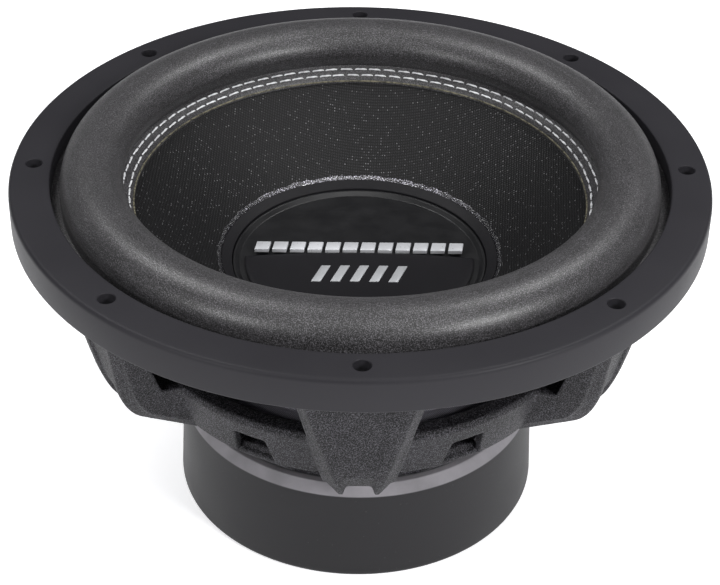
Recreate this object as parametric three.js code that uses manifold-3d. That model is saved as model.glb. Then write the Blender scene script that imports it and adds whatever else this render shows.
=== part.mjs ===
// Twelve-inch car subwoofer: cast six-spoke basket, double magnet motor, foam surround and stitched cone.
// Millimetres, +Z up. The origin is the centre of the magnet boot's bottom face, on which the speaker
// stands. Azimuth 0 points along -Y, where one spoke lies, and grows towards +X.
import * as THREE from "three";
import { mergeVertices } from "three/addons/utils/BufferGeometryUtils.js";
import Module from "manifold-3d";

const wasm = await Module();
wasm.setup();

// ---------------------------------------------------------------- driving dimensions
const GAP = 0.3; // clearance between neighbouring pieces
const SINK = 0.5; // how far joined features of one piece reach into each other
const PAST = 1; // how far a cutter runs past the surface that it cuts
const ROUND = 48; // facets round the large rings
const FINE = 32; // facets round the inner pieces
const SMALL = 10; // facets round screws and holes

// motor, from the floor up
const BOOT_LIP = 2; // thickness of the boot's turned-in bottom lip
const BOOT_LIP_R = 60; // inner radius of that lip
const BOOT_WALL = 3.6;
const BOOT_FLARE = 2.3; // boot's foot outside its upper edge
const BOOT_CHAMFER_H = 5.6;
const BOOT_CHAMFER_IN = 3;
const BOOT_FOOT_EDGE = 2.2; // rounding of the bottom outer edge
const YOKE_PLATE = 10;
const YOKE_GROOVE = 4; // clearance groove for the coil at the bottom of its travel
const MAGNET_H = 14.5; // each of the two ferrite rings
const MAGNET_R = 81.5;
const MAGNET_BORE_ROOM = 1.7; // magnet bore clear of the shorting ring
const PLATE_IN = 2.5; // steel plates inside the magnets' edge
const TOP_PLATE = 12;
const POLE_RISE = 2; // pole top above the top plate
const POLE_EDGE = 1;
const VENT_R = 14;
const VENT_FLARE = 3;
const SCREEN_T = 1.2;
const SCREEN_HOLE_R = 3.1;
const SHORTING_RING_H = 11;
const SHORTING_RING_WALL = 4;

// voice coil
const COIL_BORE_R = 38.1; // inner radius of the former
const FORMER_WALL = 0.5;
const FORMER_ABOVE = 2; // former's top above the cone's neck
const WINDING_T = 0.9;
const WINDING_H = 34;
const POLE_CLEARANCE = 0.6;
const PLATE_CLEARANCE = 0.8;
const COIL_GROOVE_CLEARANCE = 3;

// basket
const BASKET_H = 103.8; // hub seat to the flange's rear face
const FLANGE_T = 6.2;
const HUB_T = 7;
const HUB_OUT = 1; // hub beyond the top plate's edge
const LANDING_H = 47.7; // top of the landing above the hub seat
const LANDING_R = 107;
const BAND_H = 29.1;
const BAND_TAPER = 8.6; // band's foot inside its top
const BAND_T = 3.2;
const BAND_CHAMFER_H = 3.2;
const BAND_CHAMFER_OUT = 0.6;
const LEDGE_DROP = 8.7; // spider ledge below the landing's top
const LEDGE_T = 4;
const LANDING_W = 8.2;
const LEDGE_W = 11.8;
const SPOKES = 6;
const SPOKE_HALF_AT_KNEE = 12.72;
const SPOKE_SPREAD_UP = 0.282; // growth of a spoke's half width per mm of height
const SPOKE_SPREAD_IN = 0.269; // growth per mm towards the axis
const SPOKE_FACE_IN = 16; // face of the spoke inside the trim ring's outer edge, at the flange
const KNEE_OUT = 20.9; // corner where the spoke's two straight faces would meet, beyond the landing
const KNEE_H = 30.6; // that corner above the hub seat
const KNEE_UP = 22.5; // length of the bend up the face
const KNEE_IN = 10; // and in along the underside
const SPOKE_FOOT_H = 4.8; // underside of the spoke above the hub seat, at the hub's edge
const SPOKE_BACK_OUT = 7.1; // back edge of the spoke on the landing, beyond it
const SPOKE_TOE = 11; // spoke's root runs this far in over the hub
const SPOKE_HEEL = 3; // root of the inner face outside the hub
const SPOKE_GUSSET = 4; // inner face leans in under the flange by this much
const FLUTE_DEPTH = 4.6;
const FLUTE_FLOOR = 10.6;
const FLUTE_SHARE = 0.73; // share of the spoke's width that the flute opens over
const SPOKE_BEVEL = 2.7;
const CUTTER_OVERRUN_TOP = 0.25; // share of the face's end stretches that cutters run past it
const CUTTER_OVERRUN_FOOT = 0.05;
const WINDOW_TURN = 28; // azimuth of the landing band's windows from the nearest even spoke, in degrees
const WINDOW_H = 17.1;
const WINDOW_HALF_TOP = 7.6;
const WINDOW_HALF_FOOT = 9.8;
const SILL_IN = 5.9; // outer face of the sill behind each window, inside the band's foot
const SILL_H = 2.6; // height of the sill above the band's lower edge
const SILL_T = 4;
const SILL_SIDE = 2; // sill wider than its window on each side

// trim ring and its screw holes
const RING_R = 160;
const RING_FACE = 18.6;
const RING_FACE_T = 8.4;
const RING_SKIRT = 4.2;
const RING_EDGE = 0.8;
const SCREW_CIRCLE_IN = 10.4; // screw circle inside the ring's outer edge
const SCREW_HOLE_R = 3.8;
const SCREW_HOLES = 8;

// surround and cone
const LIP_T = 1.6; // surround's outer lip
const LIP_MARGIN = 1.1; // from the outer lip to the screw holes
const FOAM_T = 2.3;
const RING_TO_ROLL = 4.5;
const ROLL_W = 28.6;
const ROLL_RISE = 12; // crest above the widest line of the roll
const ROLL_AXIS_DROP = 1.8; // widest line below the ring's top
const LIP_W = 7.7; // stitched lip, measured along the radius
const LIP_IN = 4.3; // lip's inner edge inside the roll's inner foot
const LIP_SLOPE = 0.464;
const CONE_T = 1.2;
const CONE_RIM_IN = 0.7; // cone face starts this far inside the stitched lip
const NECK_RISE = 10.4; // cone neck above the spider ledge
const NECK_H = 4;
const STITCH_T = 0.6;
const STITCH_W = 0.9;
const STITCH_IN = 2.3; // inner stitch row from the lip's edge
const STITCH_PITCH = 3.3; // distance between the two rows
const CAP_R = 64.9;
const CAP_RING_W = 4.8;
const CAP_RING_FLATTER = 0.575; // collar's slope as a share of the cone's
const CAP_RING_PROUD = 1; // collar's outer edge above the cone's face
const CAP_SEAT_GAP = 0.4; // collar and cap above the cone's face, where they are glued
const CAP_STEP = 4.6;
const CAP_SUNK = 2.2; // cap's floor below the collar's inner edge
const CAP_EDGE_DROP = 0.6; // cap's edge below the collar's inner edge
const CAP_T = 1.5;
const CAP_DOME = 1.6;
const PLATEAU_RISE = 1.3;
const PLATEAU_IN = 1; // plateau's rim inside the cap's floor
const PLATEAU_TURN = 4; // angle of the plateau's ends below the middle line, in degrees
const PLATEAU_BOW = 3; // how far its straight edge bows upwards
const EMBLEM_L = 100;
const EMBLEM_W = 6.5;
const EMBLEM_H = 1.9;
const EMBLEM_Y = 6.5; // middle of the emblem, above the middle line

// spider
const SPIDER_T = 0.8;
const SPIDER_WAVE = 3.2;
const SPIDER_WAVES = 3;
const SPIDER_COLLAR_T = 1.6; // collar glued to the former
const SPIDER_COLLAR_H = 3; // above and below the cloth

// screws, terminals and leads
const PLATE_SCREW_R = 2.5;
const PLATE_SCREW_IN = 14; // plate screws inside the hub's edge
const PLATE_SCREW_GRIP = 6; // thread length in the top plate
const PLATE_SCREW_HEAD = 2.8;
const TERMINAL_X = 54;
const TERMINAL_PAD_PROUD = 0.5; // cast pad under each terminal block, proud of the landing band
const TERMINAL_PAD_DEPTH = 16;
const PAD_MARGIN = 1.6; // pad smaller than the block on every side
const TERMINAL_W = 34;
const TERMINAL_D = 14;
const TERMINAL_H = 20;
const TERMINAL_RISE = 25; // bottom of the block above the hub seat
const BUTTON_PITCH = 15;
const BUTTON_W = 8;
const BUTTON_L = 9.5;
const BUTTON_MARGIN = 2.4; // below the block's top
const BUTTON_PROUD = 4;
const BUTTON_GRIP_R = 1.1;
const BUTTON_TRAVEL = 3;
const TERMINAL_SCREW_R = 1.5;
const TERMINAL_SCREW_GRIP = 6; // thread length in the cast pad
const TERMINAL_SCREW_HEAD = 2.2;
const PORT_W = 5.6;
const PORT_DEPTH = 9;
const PORT_MARGIN = 1.6; // above the block's foot
const STRIP_W = 4;
const STRIP_T = 0.8;
const TAB_RISE = 6;
const LEAD_R = 1.2;

// ---------------------------------------------------------------- levels and radii that follow
const yokeZ = BOOT_LIP;
const lowerMagnetZ = yokeZ + YOKE_PLATE;
const upperMagnetZ = lowerMagnetZ + MAGNET_H;
const topPlateZ = upperMagnetZ + MAGNET_H;
const hubZ = topPlateZ + TOP_PLATE;
const flangeZ = hubZ + BASKET_H;
const flangeTopZ = flangeZ + FLANGE_T;
const lipTopZ = flangeTopZ + LIP_T;
const ringTopZ = lipTopZ + RING_FACE_T;
const landingZ = hubZ + LANDING_H;
const ledgeZ = landingZ - LEDGE_DROP;
const bandFootZ = landingZ - BAND_H;
const bootR = MAGNET_R + GAP + BOOT_WALL;
const plateR = MAGNET_R - PLATE_IN;
const hubR = plateR + HUB_OUT;
const plateScrewCircleR = hubR - PLATE_SCREW_IN;
const ringInnerR = RING_R - RING_FACE;
const flangeR = RING_R - RING_SKIRT - GAP;
const rollOuterR = ringInnerR - RING_TO_ROLL;
const rollInnerR = rollOuterR - ROLL_W;
const rollMidR = (rollOuterR + rollInnerR) / 2;
const rollAxisZ = ringTopZ - ROLL_AXIS_DROP;
const screwCircleR = RING_R - SCREW_CIRCLE_IN;
const lipR = screwCircleR - SCREW_HOLE_R - LIP_MARGIN;
const lipInnerR = rollInnerR - LIP_IN;
const stitchedR = lipInnerR + LIP_W;
const coneRimR = lipInnerR - CONE_RIM_IN;
const coneRimZ = flangeZ; // cone rim level with the flange's rear face
const formerR = COIL_BORE_R + FORMER_WALL;
const neckR = formerR + GAP;
const neckZ = ledgeZ + NECK_RISE;
const coneSlope = (coneRimZ - neckZ) / (coneRimR - neckR);
const windingMidZ = topPlateZ + TOP_PLATE / 2;
const windingZ = windingMidZ - WINDING_H / 2;
const windingOuterR = neckR + 2 * WINDING_T + GAP;
const plateBoreR = windingOuterR + PLATE_CLEARANCE;
const poleR = COIL_BORE_R - POLE_CLEARANCE;
const grooveR = windingOuterR + COIL_GROOVE_CLEARANCE;
const shortingR = grooveR + GAP;
const shortingOuterR = shortingR + SHORTING_RING_WALL;
const magnetBoreR = shortingOuterR + MAGNET_BORE_ROOM;
const spokeFaceR = RING_R - SPOKE_FACE_IN;
const spokeBackR = LANDING_R + SPOKE_BACK_OUT;
const kneeR = LANDING_R + KNEE_OUT;
const bandFootR = LANDING_R - BAND_TAPER;
const ledgeOuterR = LANDING_R - LANDING_W;
const ledgeInnerR = ledgeOuterR - LEDGE_W;
const sillR = bandFootR - SILL_IN;
const bandOuterR = LANDING_R + BAND_CHAMFER_OUT;
const padY = Math.sqrt(bandOuterR ** 2 - (TERMINAL_X - TERMINAL_W / 2) ** 2) + TERMINAL_PAD_PROUD;

// ---------------------------------------------------------------- shape helpers
const rad = THREE.MathUtils.degToRad;

function toSolid(geometry) {
  const bare = geometry.clone();
  bare.deleteAttribute("normal");
  bare.deleteAttribute("uv");
  const merged = mergeVertices(bare, 1e-4);
  const index = merged.index.array;
  const position = merged.attributes.position;
  const corner = (i) => new THREE.Vector3().fromBufferAttribute(position, i);
  const triangles = [];
  let volume = 0;
  for (let i = 0; i < index.length; i += 3) {
    const [a, b, c] = [index[i], index[i + 1], index[i + 2]];
    if (a === b || b === c || c === a) continue;
    triangles.push([a, b, c]);
    volume += corner(a).dot(corner(b).cross(corner(c)));
  }
  const outward = volume > 0 ? triangles : triangles.map(([a, b, c]) => [a, c, b]);
  return new wasm.Manifold(new wasm.Mesh({
    numProp: 3,
    vertProperties: new Float32Array(position.array),
    triVerts: new Uint32Array(outward.flat()),
  }));
}

function toGeometry(solid) {
  const mesh = solid.getMesh();
  const geometry = new THREE.BufferGeometry();
  geometry.setAttribute("position", new THREE.BufferAttribute(new Float32Array(mesh.vertProperties), 3));
  geometry.setIndex(new THREE.BufferAttribute(new Uint32Array(mesh.triVerts), 1));
  geometry.computeVertexNormals();
  return geometry;
}

// Turned piece: a closed outline of [radius, height] pairs, revolved about Z.
function turned(outline, facets) {
  const points = outline.map(([r, z]) => new THREE.Vector2(r, z));
  const area = THREE.ShapeUtils.area(points);
  const ordered = area > 0 ? points : points.reverse();
  ordered.push(ordered[0].clone());
  const geometry = new THREE.LatheGeometry(ordered, facets);
  geometry.rotateX(Math.PI / 2);
  return toSolid(geometry);
}

function box(w, d, h, x, y, z) {
  const geometry = new THREE.BoxGeometry(w, d, h);
  geometry.translate(x, y, z + h / 2);
  return toSolid(geometry);
}

function rod(radius, length, z, [x, y] = [0, 0], facets = SMALL) {
  const geometry = new THREE.CylinderGeometry(radius, radius, length, facets);
  geometry.rotateX(Math.PI / 2);
  geometry.translate(x, y, z + length / 2);
  return toSolid(geometry);
}

// A solid turned by [x, y, z] degrees and then shifted.
function moved(solid, turn, shift) {
  const geometry = toGeometry(solid);
  geometry.rotateX(rad(turn[0]));
  geometry.rotateY(rad(turn[1]));
  geometry.rotateZ(rad(turn[2]));
  geometry.translate(...shift);
  return toSolid(geometry);
}

// Copies of a solid built at azimuth 0, turned to other azimuths.
function around(solid, azimuths) {
  return azimuths.map((degrees) => moved(solid, [0, 0, degrees], [0, 0, 0]));
}

const evenly = (count, start = 0) => Array.from({ length: count }, (_, i) => start + (360 / count) * i);
const joinAll = (solids) => solids.reduce((sum, next) => sum.add(next));

const finishes = {
  castMetal: { color: 0x2b2b2e, roughness: 0.75, metalness: 0.3 },
  satinPlastic: { color: 0x2a2b2e, roughness: 0.5, metalness: 0 },
  foam: { color: 0x2a2826, roughness: 0.8, metalness: 0 },
  weave: { color: 0x1d1d1f, roughness: 0.6, metalness: 0.1 },
  glossPlastic: { color: 0x121215, roughness: 0.2, metalness: 0 },
  silver: { color: 0xb9bcc2, roughness: 0.25, metalness: 0.9 },
  thread: { color: 0xc9cbd0, roughness: 0.7, metalness: 0 },
  rubber: { color: 0x2c2c2f, roughness: 0.55, metalness: 0 },
  steel: { color: 0x8d8f94, roughness: 0.4, metalness: 0.9 },
  ferrite: { color: 0x3a3a3c, roughness: 0.8, metalness: 0.2 },
  aluminium: { color: 0xa9abb0, roughness: 0.4, metalness: 0.9 },
  copper: { color: 0xb0683a, roughness: 0.35, metalness: 0.9 },
  spider: { color: 0xc9a44a, roughness: 0.9, metalness: 0 },
  redPlastic: { color: 0xa01818, roughness: 0.4, metalness: 0 },
  braid: { color: 0xb88a5a, roughness: 0.5, metalness: 0.6 },
};

const subwoofer = new THREE.Group();

function add(name, solid, finish, parent = subwoofer) {
  const mesh = new THREE.Mesh(toGeometry(solid), new THREE.MeshStandardMaterial(finishes[finish]));
  mesh.name = name;
  parent.add(mesh);
  return mesh;
}

// ---------------------------------------------------------------- basket
// Half width of a spoke at a radius and height: both sides are flat and taper down and outwards.
function spokeHalf(r, z) {
  return SPOKE_HALF_AT_KNEE + SPOKE_SPREAD_IN * (kneeR - r) + SPOKE_SPREAD_UP * (z - hubZ - KNEE_H);
}

// Outer face of a spoke from the flange down, round the knee and in to the hub.
function spokeFace() {
  const corner = new THREE.Vector2(kneeR, hubZ + KNEE_H);
  const top = new THREE.Vector2(spokeFaceR, flangeZ);
  const foot = new THREE.Vector2(hubR, hubZ + SPOKE_FOOT_H);
  const bendTop = corner.clone().lerp(top, KNEE_UP / corner.distanceTo(top));
  const bendFoot = corner.clone().lerp(foot, KNEE_IN / corner.distanceTo(foot));
  const bend = new THREE.QuadraticBezierCurve(bendTop, corner, bendFoot);
  return [top, ...bend.getPoints(3), foot];
}

function spokeBody() {
  const shape = new THREE.Shape([
    new THREE.Vector2(spokeFaceR + PAST, flangeZ + FLANGE_T / 2),
    ...spokeFace(),
    new THREE.Vector2(hubR - SPOKE_TOE, hubZ + SPOKE_FOOT_H / 2),
    new THREE.Vector2(hubR - SPOKE_TOE, hubZ + HUB_T - SINK),
    new THREE.Vector2(hubR + SPOKE_HEEL, hubZ + HUB_T - SINK),
    new THREE.Vector2(ledgeInnerR + SINK, ledgeZ - 2 * LEDGE_T),
    new THREE.Vector2(ledgeInnerR + SINK, ledgeZ - SINK),
    new THREE.Vector2(ledgeOuterR + SINK, ledgeZ - SINK),
    new THREE.Vector2(ledgeOuterR + SINK, landingZ),
    new THREE.Vector2(spokeBackR, landingZ),
    new THREE.Vector2(rollOuterR - SPOKE_GUSSET, flangeZ - FLANGE_T),
    new THREE.Vector2(rollOuterR + SINK, flangeZ),
    new THREE.Vector2(rollOuterR + SINK, flangeZ + FLANGE_T / 2),
  ]);
  const geometry = new THREE.ExtrudeGeometry(shape, { depth: 2, bevelEnabled: false });
  geometry.translate(0, 0, -1); // so that the two sides lie at -1 and 1
  const position = geometry.attributes.position;
  for (let i = 0; i < position.count; i += 1) {
    const [r, z, side] = [position.getX(i), position.getY(i), position.getZ(i)];
    position.setXYZ(i, -side * spokeHalf(r, z), -r, z);
  }
  return toSolid(geometry);
}

// Cutter that follows the spoke's outer face. place(side, level, half) gives, for each corner of its
// section, the distance across the spoke and the depth under the face.
function alongFace(place) {
  const face = spokeFace();
  const first = face[0].clone().lerp(face[1], -CUTTER_OVERRUN_TOP);
  const last = face[face.length - 1].clone().lerp(face[face.length - 2], -CUTTER_OVERRUN_FOOT);
  const line = [first, ...face, last];
  const geometry = new THREE.BoxGeometry(2, 2, line.length - 1, 1, 1, line.length - 1);
  const position = geometry.attributes.position;
  for (let i = 0; i < position.count; i += 1) {
    const step = Math.round(position.getZ(i) + (line.length - 1) / 2);
    const here = line[step];
    const before = line[Math.max(step - 1, 0)];
    const after = line[Math.min(step + 1, line.length - 1)];
    const run = after.clone().sub(before).normalize();
    const inward = new THREE.Vector2(run.y, -run.x);
    const [across, depth] = place(position.getX(i), position.getY(i), spokeHalf(here.x, here.y));
    const point = here.clone().addScaledVector(inward, depth);
    position.setXYZ(i, across, -point.x, point.y);
  }
  return toSolid(geometry);
}

function spokeFlute() {
  return alongFace((side, level, half) => (
    level > 0 ? [side * FLUTE_FLOOR / 2, FLUTE_DEPTH] : [side * FLUTE_SHARE * half, -PAST]
  ));
}

function spokeBevel(hand) {
  const reach = SPOKE_BEVEL / 2 + PAST;
  return alongFace((side, level, half) => {
    const out = level > 0 ? 0 : SPOKE_BEVEL;
    return [hand * (half - SPOKE_BEVEL / 2 + side * reach + out), SPOKE_BEVEL / 2 + side * reach - out];
  });
}

function basketRings() {
  const flange = turned([
    [rollOuterR, flangeZ], [flangeR, flangeZ], [flangeR, flangeTopZ], [rollOuterR, flangeTopZ],
  ], ROUND);
  const landing = turned([
    [ledgeInnerR, ledgeZ - LEDGE_T], [ledgeInnerR, ledgeZ], [ledgeOuterR, ledgeZ],
    [ledgeOuterR, landingZ], [LANDING_R, landingZ],
    [bandOuterR, landingZ - BAND_CHAMFER_H], [bandFootR, bandFootZ],
    [bandFootR - BAND_T, bandFootZ], [ledgeOuterR, ledgeZ - LEDGE_T],
  ], ROUND);
  const hub = turned([
    [grooveR, hubZ], [hubR, hubZ], [hubR, hubZ + HUB_T], [grooveR, hubZ + HUB_T],
  ], ROUND);
  return [flange, landing, hub];
}

function windowCutter() {
  const shape = new THREE.Shape([
    new THREE.Vector2(-WINDOW_HALF_FOOT, -PAST),
    new THREE.Vector2(WINDOW_HALF_FOOT, -PAST),
    new THREE.Vector2(WINDOW_HALF_TOP, WINDOW_H),
    new THREE.Vector2(-WINDOW_HALF_TOP, WINDOW_H),
  ]);
  const geometry = new THREE.ExtrudeGeometry(shape, {
    depth: bandOuterR + PAST - sillR, bevelEnabled: false,
  });
  geometry.rotateX(Math.PI / 2);
  geometry.translate(0, -sillR, bandFootZ);
  return toSolid(geometry);
}

// Sloping sill seen through a window, carried by a foot that reaches in to the hub.
function windowSill() {
  const shape = new THREE.Shape([
    new THREE.Vector2(hubR - SILL_T, hubZ + SINK),
    new THREE.Vector2(hubR + SILL_T, hubZ + SPOKE_FOOT_H),
    new THREE.Vector2(bandFootR - 1.3 * BAND_T, bandFootZ - BAND_T),
    new THREE.Vector2(bandFootR - 1.3 * BAND_T, bandFootZ),
    new THREE.Vector2(sillR - SINK, bandFootZ + SILL_H),
    new THREE.Vector2(sillR - SILL_T, bandFootZ + SILL_H),
    new THREE.Vector2(hubR - SILL_T, hubZ + HUB_T - SINK),
  ]);
  const width = 2 * (WINDOW_HALF_FOOT + SILL_SIDE);
  const geometry = new THREE.ExtrudeGeometry(shape, { depth: width, bevelEnabled: false });
  geometry.rotateX(Math.PI / 2);
  geometry.rotateZ(-Math.PI / 2);
  geometry.translate(-width / 2, 0, 0);
  return toSolid(geometry);
}

function basket() {
  const windowTurns = [WINDOW_TURN, -WINDOW_TURN, 120 - WINDOW_TURN, WINDOW_TURN - 120];
  const pads = [-1, 1].map((side) => box(
    TERMINAL_W - 2 * PAD_MARGIN, TERMINAL_PAD_DEPTH, TERMINAL_H - 2 * PAD_MARGIN,
    side * TERMINAL_X, padY - TERMINAL_PAD_DEPTH / 2, hubZ + TERMINAL_RISE + PAD_MARGIN,
  ));
  const spiderRoom = turned([
    [0, ledgeZ], [ledgeOuterR, ledgeZ], [ledgeOuterR, landingZ + LEDGE_DROP], [0, landingZ + LEDGE_DROP],
  ], ROUND);
  const solid = joinAll([
    ...basketRings(),
    ...around(spokeBody(), evenly(SPOKES)),
    ...around(windowSill(), windowTurns),
    ...pads,
  ]);
  const cutters = [
    ...around(spokeFlute(), evenly(SPOKES)),
    ...around(spokeBevel(1), evenly(SPOKES)),
    ...around(spokeBevel(-1), evenly(SPOKES)),
    ...around(windowCutter(), windowTurns),
    ...screwHoles(),
    ...plateScrewPlaces().map(([x, y]) => rod(PLATE_SCREW_R + GAP, HUB_T + 2 * PAST, hubZ - PAST, [x, y])),
    ...terminalScrewPlaces().map(([x, z]) => terminalScrewHole(x, z)),
    spiderRoom,
  ];
  return solid.subtract(joinAll(cutters));
}

// ---------------------------------------------------------------- trim ring
function screwHoles() {
  const hole = rod(SCREW_HOLE_R, ringTopZ - flangeZ + 2 * PAST, flangeZ - PAST, [0, -screwCircleR]);
  return around(hole, evenly(SCREW_HOLES));
}

function trimRing() {
  const skirtR = RING_R - RING_SKIRT;
  const profile = [
    [ringInnerR, lipTopZ], [lipR + GAP, lipTopZ], [lipR + GAP, flangeTopZ], [skirtR, flangeTopZ],
    [skirtR, flangeZ], [RING_R, flangeZ], [RING_R, ringTopZ - RING_EDGE], [RING_R - RING_EDGE, ringTopZ],
    [ringInnerR + RING_EDGE, ringTopZ], [ringInnerR, ringTopZ - RING_EDGE],
  ];
  return turned(profile, ROUND).subtract(joinAll(screwHoles()));
}

// ---------------------------------------------------------------- surround, cone and cap
const lipUnderZ = (r) => coneRimZ + CONE_T + LIP_SLOPE * (r - lipInnerR);

function rollArc(inset, steps) {
  const arc = new THREE.EllipseCurve(
    rollMidR, rollAxisZ, ROLL_W / 2 - inset, ROLL_RISE - inset, Math.PI, 0, true,
  );
  return arc.getPoints(steps).map((p) => [p.x, p.y]);
}

function surround() {
  const outer = rollArc(0, 8);
  const inner = rollArc(FOAM_T, 5).reverse();
  return turned([
    [lipInnerR, lipUnderZ(lipInnerR)], [lipInnerR, lipUnderZ(lipInnerR) + FOAM_T],
    [stitchedR, lipUnderZ(stitchedR) + FOAM_T], ...outer,
    [rollOuterR, lipTopZ], [lipR, lipTopZ], [lipR, flangeTopZ], [rollOuterR - FOAM_T, flangeTopZ],
    ...inner, [stitchedR + FOAM_T / 2, lipUnderZ(stitchedR + FOAM_T / 2)],
  ], ROUND);
}

const coneFaceZ = (r) => neckZ + coneSlope * (r - neckR);

function cone() {
  const lean = CONE_T * Math.hypot(1, coneSlope); // vertical thickness of the sloping wall
  const lipOuterR = stitchedR + GAP;
  return turned([
    [neckR, neckZ - NECK_H], [neckR, neckZ], [coneRimR, coneRimZ], [lipInnerR, lipUnderZ(lipInnerR) - GAP],
    [lipOuterR, lipUnderZ(lipOuterR) - GAP], [lipOuterR, lipUnderZ(lipOuterR) - GAP - CONE_T],
    [coneRimR + PAST, coneRimZ - CONE_T], [neckR + CONE_T, coneFaceZ(neckR + CONE_T) - lean],
    [neckR + CONE_T, neckZ - NECK_H],
  ], ROUND);
}

function stitchRow(r) {
  const under = lipUnderZ(r) + FOAM_T + GAP;
  return turned([
    [r - STITCH_W / 2, under], [r + STITCH_W / 2, under + STITCH_W * LIP_SLOPE],
    [r + STITCH_W / 2, under + STITCH_W * LIP_SLOPE + STITCH_T], [r - STITCH_W / 2, under + STITCH_T],
  ], ROUND);
}

const capZ = coneFaceZ(CAP_R);
const capRingInnerR = CAP_R - CAP_RING_W;
const capRingTopZ = capZ + CAP_RING_PROUD;
const capRingInnerZ = capRingTopZ - CAP_RING_W * CAP_RING_FLATTER * coneSlope;
const capEdgeR = capRingInnerR - GAP;
const capFloorR = capEdgeR - CAP_STEP;
const capFloorZ = capRingInnerZ - CAP_SUNK;
const capEdgeZ = capRingInnerZ - CAP_EDGE_DROP;

function capRing() {
  const keelR = CAP_R - CAP_RING_W / 2;
  return turned([
    [CAP_R, capZ + CAP_SEAT_GAP], [CAP_R, capRingTopZ], [capRingInnerR, capRingInnerZ],
    [capRingInnerR, coneFaceZ(capRingInnerR) + 2 * CAP_SEAT_GAP], [keelR, coneFaceZ(keelR) + CAP_SEAT_GAP],
  ], ROUND);
}

function dustCap() {
  const dome = [0.7, 0.35].map((share) => [
    capFloorR * share, capFloorZ + CAP_DOME * (1 - share * share),
  ]);
  const underside = dome.map(([r, z]) => [r, z - CAP_T]).reverse();
  const shell = turned([
    [capEdgeR, capEdgeZ - 1], [capEdgeR - 1, capEdgeZ], [capFloorR + 1, capFloorZ],
    ...dome, [0, capFloorZ + CAP_DOME], [0, capFloorZ + CAP_DOME - CAP_T], ...underside,
    [capFloorR + 1, capFloorZ - CAP_T], [capEdgeR, coneFaceZ(capEdgeR) + CAP_SEAT_GAP],
  ], ROUND);
  const edge = new THREE.Shape();
  const plateauR = capFloorR - PLATEAU_IN;
  const [from, to] = [rad(180 + PLATEAU_TURN), rad(360 - PLATEAU_TURN)];
  edge.absarc(0, 0, plateauR, from, to, false);
  edge.quadraticCurveTo(0, PLATEAU_BOW, plateauR * Math.cos(from), plateauR * Math.sin(from));
  const depth = PLATEAU_RISE + CAP_DOME / 2;
  const geometry = new THREE.ExtrudeGeometry(edge, { depth, bevelEnabled: false, curveSegments: 8 });
  geometry.translate(0, 0, capFloorZ + CAP_DOME / 2);
  return shell.add(toSolid(geometry));
}

function emblemBar() {
  const base = capFloorZ + CAP_DOME + GAP;
  return box(EMBLEM_L, EMBLEM_W, EMBLEM_H, 0, EMBLEM_Y, base);
}

function spider() {
  const innerR = neckR + SPIDER_COLLAR_T;
  const outerR = ledgeInnerR - PAST;
  const [collarFootZ, collarTopZ] = [ledgeZ - SPIDER_COLLAR_H, ledgeZ + SPIDER_COLLAR_H];
  const steps = SPIDER_WAVES * 2;
  const wave = [];
  for (let i = 0; i <= steps; i += 1) {
    const lift = i === 0 || i === steps ? 0 : (i % 2 ? 1 : -1) * SPIDER_WAVE;
    wave.push([innerR + ((outerR - innerR) * i) / steps, ledgeZ + lift]);
  }
  const top = wave.map(([r, z]) => [r, z + SPIDER_T]);
  return turned([
    [neckR, collarFootZ], [neckR, collarTopZ], [innerR, collarTopZ], ...top,
    [ledgeOuterR - GAP, ledgeZ + SPIDER_T], [ledgeOuterR - GAP, ledgeZ], ...wave.reverse(),
    [innerR, collarFootZ],
  ], FINE);
}

// ---------------------------------------------------------------- voice coil and motor
function tube(innerR, outerR, z0, z1, facets = FINE) {
  return turned([[innerR, z0], [outerR, z0], [outerR, z1], [innerR, z1]], facets);
}

function yoke() {
  const poleTopZ = hubZ + POLE_RISE;
  const screenSeatZ = yokeZ + SCREEN_T + GAP;
  const grooveZ = lowerMagnetZ - YOKE_GROOVE;
  return turned([
    [VENT_R + VENT_FLARE, yokeZ], [plateR, yokeZ], [plateR, lowerMagnetZ], [grooveR, lowerMagnetZ],
    [grooveR, grooveZ], [poleR, grooveZ], [poleR, poleTopZ - POLE_EDGE],
    [poleR - POLE_EDGE, poleTopZ], [VENT_R + VENT_FLARE, poleTopZ], [VENT_R, poleTopZ - VENT_FLARE],
    [VENT_R, screenSeatZ + PAST], [VENT_R + VENT_FLARE, screenSeatZ],
  ], FINE);
}

function ventScreen() {
  const disc = rod(VENT_R + VENT_FLARE - GAP, SCREEN_T, yokeZ, [0, 0], FINE);
  const middle = rod(SCREEN_HOLE_R, SCREEN_T + 2 * PAST, yokeZ - PAST);
  const outer = rod(SCREEN_HOLE_R, SCREEN_T + 2 * PAST, yokeZ - PAST, [0, -3 * SCREEN_HOLE_R]);
  return disc.subtract(joinAll([middle, ...around(outer, evenly(6))]));
}

function plateScrewPlaces() {
  return evenly(SPOKES, 180 / SPOKES).map((degrees) => [
    plateScrewCircleR * Math.sin(rad(degrees)), -plateScrewCircleR * Math.cos(rad(degrees)),
  ]);
}

function topPlate() {
  const holes = plateScrewPlaces().map(([x, y]) => (
    rod(PLATE_SCREW_R + GAP, PLATE_SCREW_GRIP + 2 * PAST, hubZ - PLATE_SCREW_GRIP - PAST, [x, y])
  ));
  return tube(plateBoreR, plateR, topPlateZ, hubZ, FINE).subtract(joinAll(holes));
}

function plateScrew() {
  const seat = hubZ + HUB_T;
  return turned([
    [0, hubZ - PLATE_SCREW_GRIP], [PLATE_SCREW_R, hubZ - PLATE_SCREW_GRIP], [PLATE_SCREW_R, seat],
    [2 * PLATE_SCREW_R, seat], [2 * PLATE_SCREW_R, seat + 0.6 * PLATE_SCREW_HEAD],
    [PLATE_SCREW_R, seat + PLATE_SCREW_HEAD], [0, seat + PLATE_SCREW_HEAD],
  ], SMALL);
}

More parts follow.
